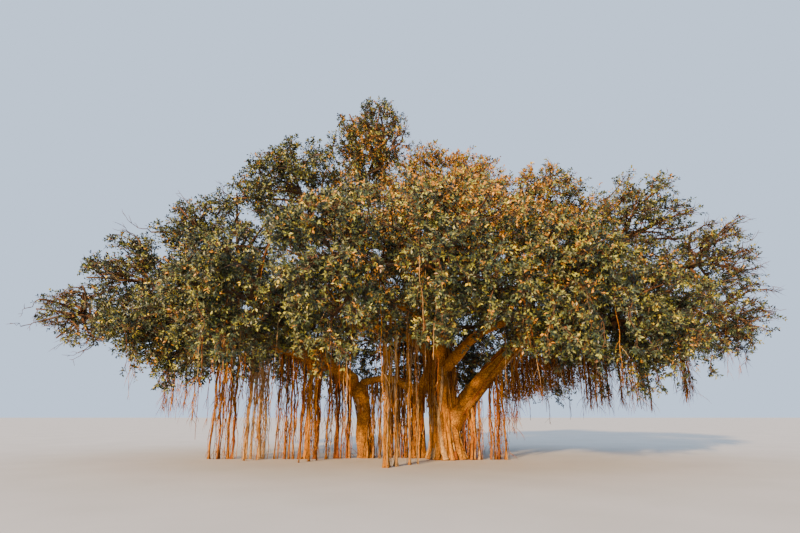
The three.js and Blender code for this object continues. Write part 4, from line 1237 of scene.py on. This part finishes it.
def shoot_parts(limbs, count, rise, rng):
    """Crooked leafless shoots, each with side shoots. A path is the running sum of short steps: the
    way out of the crown, plus the rise, plus a random turn. A path that would leave the rim is
    shortened."""
    start = limbs.tip[rng.integers(0, len(limbs.tip), count)]
    heading = unit(start - CROWN_MIDDLE) + rise * UP + rng.normal(0, 0.3, (count, 3))
    steps = unit(heading[:, None] + rng.normal(0, 0.5, (count, SHOOT_POINTS - 1, 3)))
    run = np.concatenate([np.zeros((count, 1, 3)), np.cumsum(steps, axis=1)], axis=1) / SHOOT_POINTS
    length = rng.uniform(*SHOOT_LENGTHS, (count, 1, 1))
    over = crown_depth(start + (run * length)[:, -1]) / SHOOT_EDGE
    length = length / np.maximum(over, 1)[:, None, None] ** 3
    paths = start[:, None] + run * length
    stems = (paths, tapered(paths, 0.022, 0.006), SHOOT_SIDES)
    side_start = paths[:, 3::2].reshape(-1, 3)
    way = rng.normal(0, 0.5, side_start.shape) + np.repeat(heading, len(paths[0, 3::2]), axis=0)
    side_tip = side_start + unit(way) * rng.uniform(0.2, 0.5, (len(side_start), 1))
    bend = (side_start + side_tip) / 2 + rng.normal(0, 0.05, side_start.shape)
    return [stems, limb_tubes(Limbs(side_start, bend, side_tip), 4, 0.012, 0.006, THORN_SIDES)]


# %% [markdown]
# Under the crown, long shoots hang down and carry leaves almost to their tips. They make the soft,
# uneven hem through which the trunk is seen.

# %% Leafy shoots that hang under the crown
HANGING_SHOOTS = {
    # mass: how many, and the height of the lowest
    "left_low": (18, 3.0),
    "front_left": (10, 3.5),
    "front_middle": (10, 3.9),
    "front_centre": (20, 3.9),
    "front_right": (26, 3.3),
    "right_low": (22, 2.4),
    "right_tip": (10, 2.9),
    "back_left_outer": (20, 3.0),
    "back_left": (24, 2.8),
    "back_middle": (20, 3.0),
    "back_right": (24, 2.7),
    "inner": (70, 2.4),
}
SHOOT_RINGS = 14
BARE_RINGS = 4
SHORTEST_SHOOT = 0.4
LONGEST_FALL = 0.7


def together(first, second):
    """Two sets of limbs as one."""
    return Limbs(*(np.concatenate(pair) for pair in zip(first, second)))


def hanging_shoots(branchlets, count, low, rng):
    """Long shoots that fall from the lower branchlets to uneven heights. From a few rings below its top
    each bears a twig a ring, which turns out and down by a random step."""
    height = branchlets.tip[:, 2]
    below = np.flatnonzero(height <= np.median(height))
    tops = branchlets.tip[below[rng.integers(0, len(below), count)]]
    tips = tops + rng.normal(0, 0.3, (count, 3))
    depth = low + (tops[:, 2] - low) * LONGEST_FALL * rng.uniform(0, 1, count)
    tips[:, 2] = np.minimum(tops[:, 2] - SHORTEST_SHOOT, depth)
    paths = hanging_paths(tops, tips, SHOOT_RINGS, 0.15, rng)
    start = paths[:, BARE_RINGS:].reshape(-1, 3)
    tip = start + rng.normal(0, 0.16, start.shape) - 0.14 * UP
    bend = (start + tip) / 2 + rng.normal(0, 0.03, start.shape)
    stems = (paths, tapered(paths, 0.016, 0.006), SHOOT_SIDES)
    return stems, Limbs(start, bend, tip)


# %% [markdown]
# New aerial roots start high up, as threads from the limbs themselves. Most never reach the ground.

# %% Thin roots that fall from the limbs of the masses
DROPS = {
    # mass: how many, and the height of the lowest tips
    "left_outer": (4, 3.6),
    "left_low": (16, 1.2),
    "front_left": (18, 0.8),
    "front_middle": (16, 0.8),
    "front_centre": (10, 1.8),
    "front_right": (14, 2.2),
    "right_low": (16, 1.9),
    "right_tip": (4, 2.9),
    "inner": (20, 1.0),
    "back_left_outer": (6, 3.0),
    "back_left": (18, 0.8),
    "back_middle": (14, 2.0),
    "back_right": (18, 1.2),
}
DROP_RINGS = 18


def drop_part(limbs, count, low, rng):
    """Roots from random places on the limbs, straight down but for a slow sway, to uneven heights."""
    pick = rng.integers(0, len(limbs.tip), count)
    tops = bezier(*chosen(limbs, pick), rng.uniform(0.3, 0.95, (count, 1)))
    tips = tops + rng.normal(0, 0.12, (count, 3))
    tips[:, 2] = low + (tops[:, 2] - low) * LONGEST_FALL * rng.uniform(0, 1, count) ** 1.4
    radii = rng.uniform(0.007, 0.018, (count, 1)) * thinning(DROP_RINGS, 0.4)
    return hanging_paths(tops, tips, DROP_RINGS, 0.035, rng), radii, SHOOT_SIDES


# %% [markdown]
# Now each mass is grown from its own seed: first its wood, then the leaves on the twigs that it keeps.
# Wood and leaves are two pieces, because they are two finishes, and both replace the mass's solid.

# %% Grow every mass
DROP_SHARES = (3, 4, 3, 1)
# Rings along, radius at the start and at the tip, and sides round.
LIMB_FORM = (7, 0.075, 0.032, 6)
BRANCHLET_FORM = (4, 0.03, 0.014, THORN_SIDES)
TWIG_FORM = (2, 0.012, 0.006, THORN_SIDES)
drops = []
for name in MASSES:
    stem, radius, limbs, branchlets, twigs, rng = grown_mass(name)
    extra = []
    if name in HANGING_SHOOTS:
        stems, hanging = hanging_shoots(branchlets, *HANGING_SHOOTS[name], rng)
        extra.append(stems)
        twigs = together(twigs, hanging)
    if name in BARE_SHOOTS:
        extra += shoot_parts(limbs, *BARE_SHOOTS[name], rng)
    wood = [
        limb_tubes(stem, 10, radius, radius * 0.5, 10),
        limb_tubes(limbs, *LIMB_FORM),
        limb_tubes(branchlets, *BRANCHLET_FORM),
        limb_tubes(twigs, *TWIG_FORM),
        *extra,
    ]
    nodes = ["foliage_" + FILLS.get(name, name)]
    make_piece(name + "_twigs", [tinted(part, (1, 1), rng) for part in wood], TWIG_FINISHES, nodes)
    leafy = chosen(twigs, rng.uniform(0, 1, len(twigs.tip)) < leafy_share(twigs.tip, name))
    make_piece(name + "_leaves", [leaves_part(leafy, rng)], LEAF_FINISHES, nodes, smooth=False)
    if name in DROPS:
        fallen = drop_part(limbs, *DROPS[name], rng)
        drops += [tinted(part, DROP_SHARES, rng) for part in (fallen, fibre_part(fallen[0], 8, rng))]
make_piece("crown_roots", drops, ROOT_FINISHES, ["foliage_" + name for name in DROPS])

# %% [markdown]
# ## Floor, light and camera
# The tree stands on a plain pale floor. One broad warm lamp, low behind the camera, plays the evening
# sun that brings out the orange of the bark, and a pale sky fills the shadows.

# %% Floor
FLOOR_HALF = 600.0
FLOOR_HEIGHT = -0.004
FLOOR_GRAIN_MM = 2500


def make_floor():
    """One large square just under the roots' feet."""
    material, tree, shader, place = empty_material("pale_studio_floor")
    colour = tone_ramp(tree, noise(tree, place, FLOOR_GRAIN_MM, 3), ["#c6c1b8", "#cfcac2"])
    wired(tree, shader, {"Roughness": 0.9}, {"Base Color": colour})
    mesh = bpy.data.meshes.new("studio_floor")
    signs = ((-1, -1), (1, -1), (1, 1), (-1, 1))
    square = [(FLOOR_HALF * x, FLOOR_HALF * y, FLOOR_HEIGHT) for x, y in signs]
    mesh.from_pydata(square, [], [(0, 1, 2, 3)])
    mesh.materials.append(material)
    floor = bpy.data.objects.new("studio_floor", mesh)
    bpy.context.scene.collection.objects.link(floor)


make_floor()

# %% [markdown]
# A sun lamp has no place, only a direction and a width, which is what low evening sun needs: straight
# warm light with slightly soft shadows. The sky's pale blue keeps the shadows cool and open.

# %% Light
def make_sun(name, colour, strength, width_degrees, from_place):
    """A sun lamp that shines from the given side towards the origin."""
    lamp = bpy.data.lights.new(name, "SUN")
    lamp.color = linear(colour)[:3]
    lamp.energy = strength
    lamp.angle = math.radians(width_degrees)
    sun = bpy.data.objects.new(name, lamp)
    sun.location = from_place
    sun.rotation_euler = sun.location.to_track_quat("Z", "Y").to_euler()
    bpy.context.scene.collection.objects.link(sun)


def make_sky(colour, strength):
    """An even pale background that also fills the shadows."""
    world = bpy.data.worlds.new("pale_sky")
    world.use_nodes = True
    background = world.node_tree.nodes["Background"]
    background.inputs["Color"].default_value = linear(colour)
    background.inputs["Strength"].default_value = strength
    bpy.context.scene.world = world


make_sun("evening_sun", "#ffd49c", strength=10.0, width_degrees=3, from_place=(-15, -30, 10))
make_sky("#c6daf6", strength=1.4)

# %% [markdown]
# The tree is seen from standing height through a wide lens, tilted up so that the crown fits in.

# %% Camera
CAMERA_PLACE = (-1.83, -22, 1.6)
TILT_DEGREES = 15.67
SENSOR_MM = 36
LENS_MM = 24
FURTHEST = 2000


def make_camera():
    """A camera that looks along +Y, tilted up and not to either side."""
    lens = bpy.data.cameras.new("camera")
    lens.sensor_width = SENSOR_MM
    lens.lens = LENS_MM
    lens.clip_end = FURTHEST
    camera = bpy.data.objects.new("camera", lens)
    camera.location = CAMERA_PLACE
    camera.rotation_euler = (math.radians(90 + TILT_DEGREES), 0, 0)
    bpy.context.scene.collection.objects.link(camera)
    bpy.context.scene.camera = camera


make_camera()
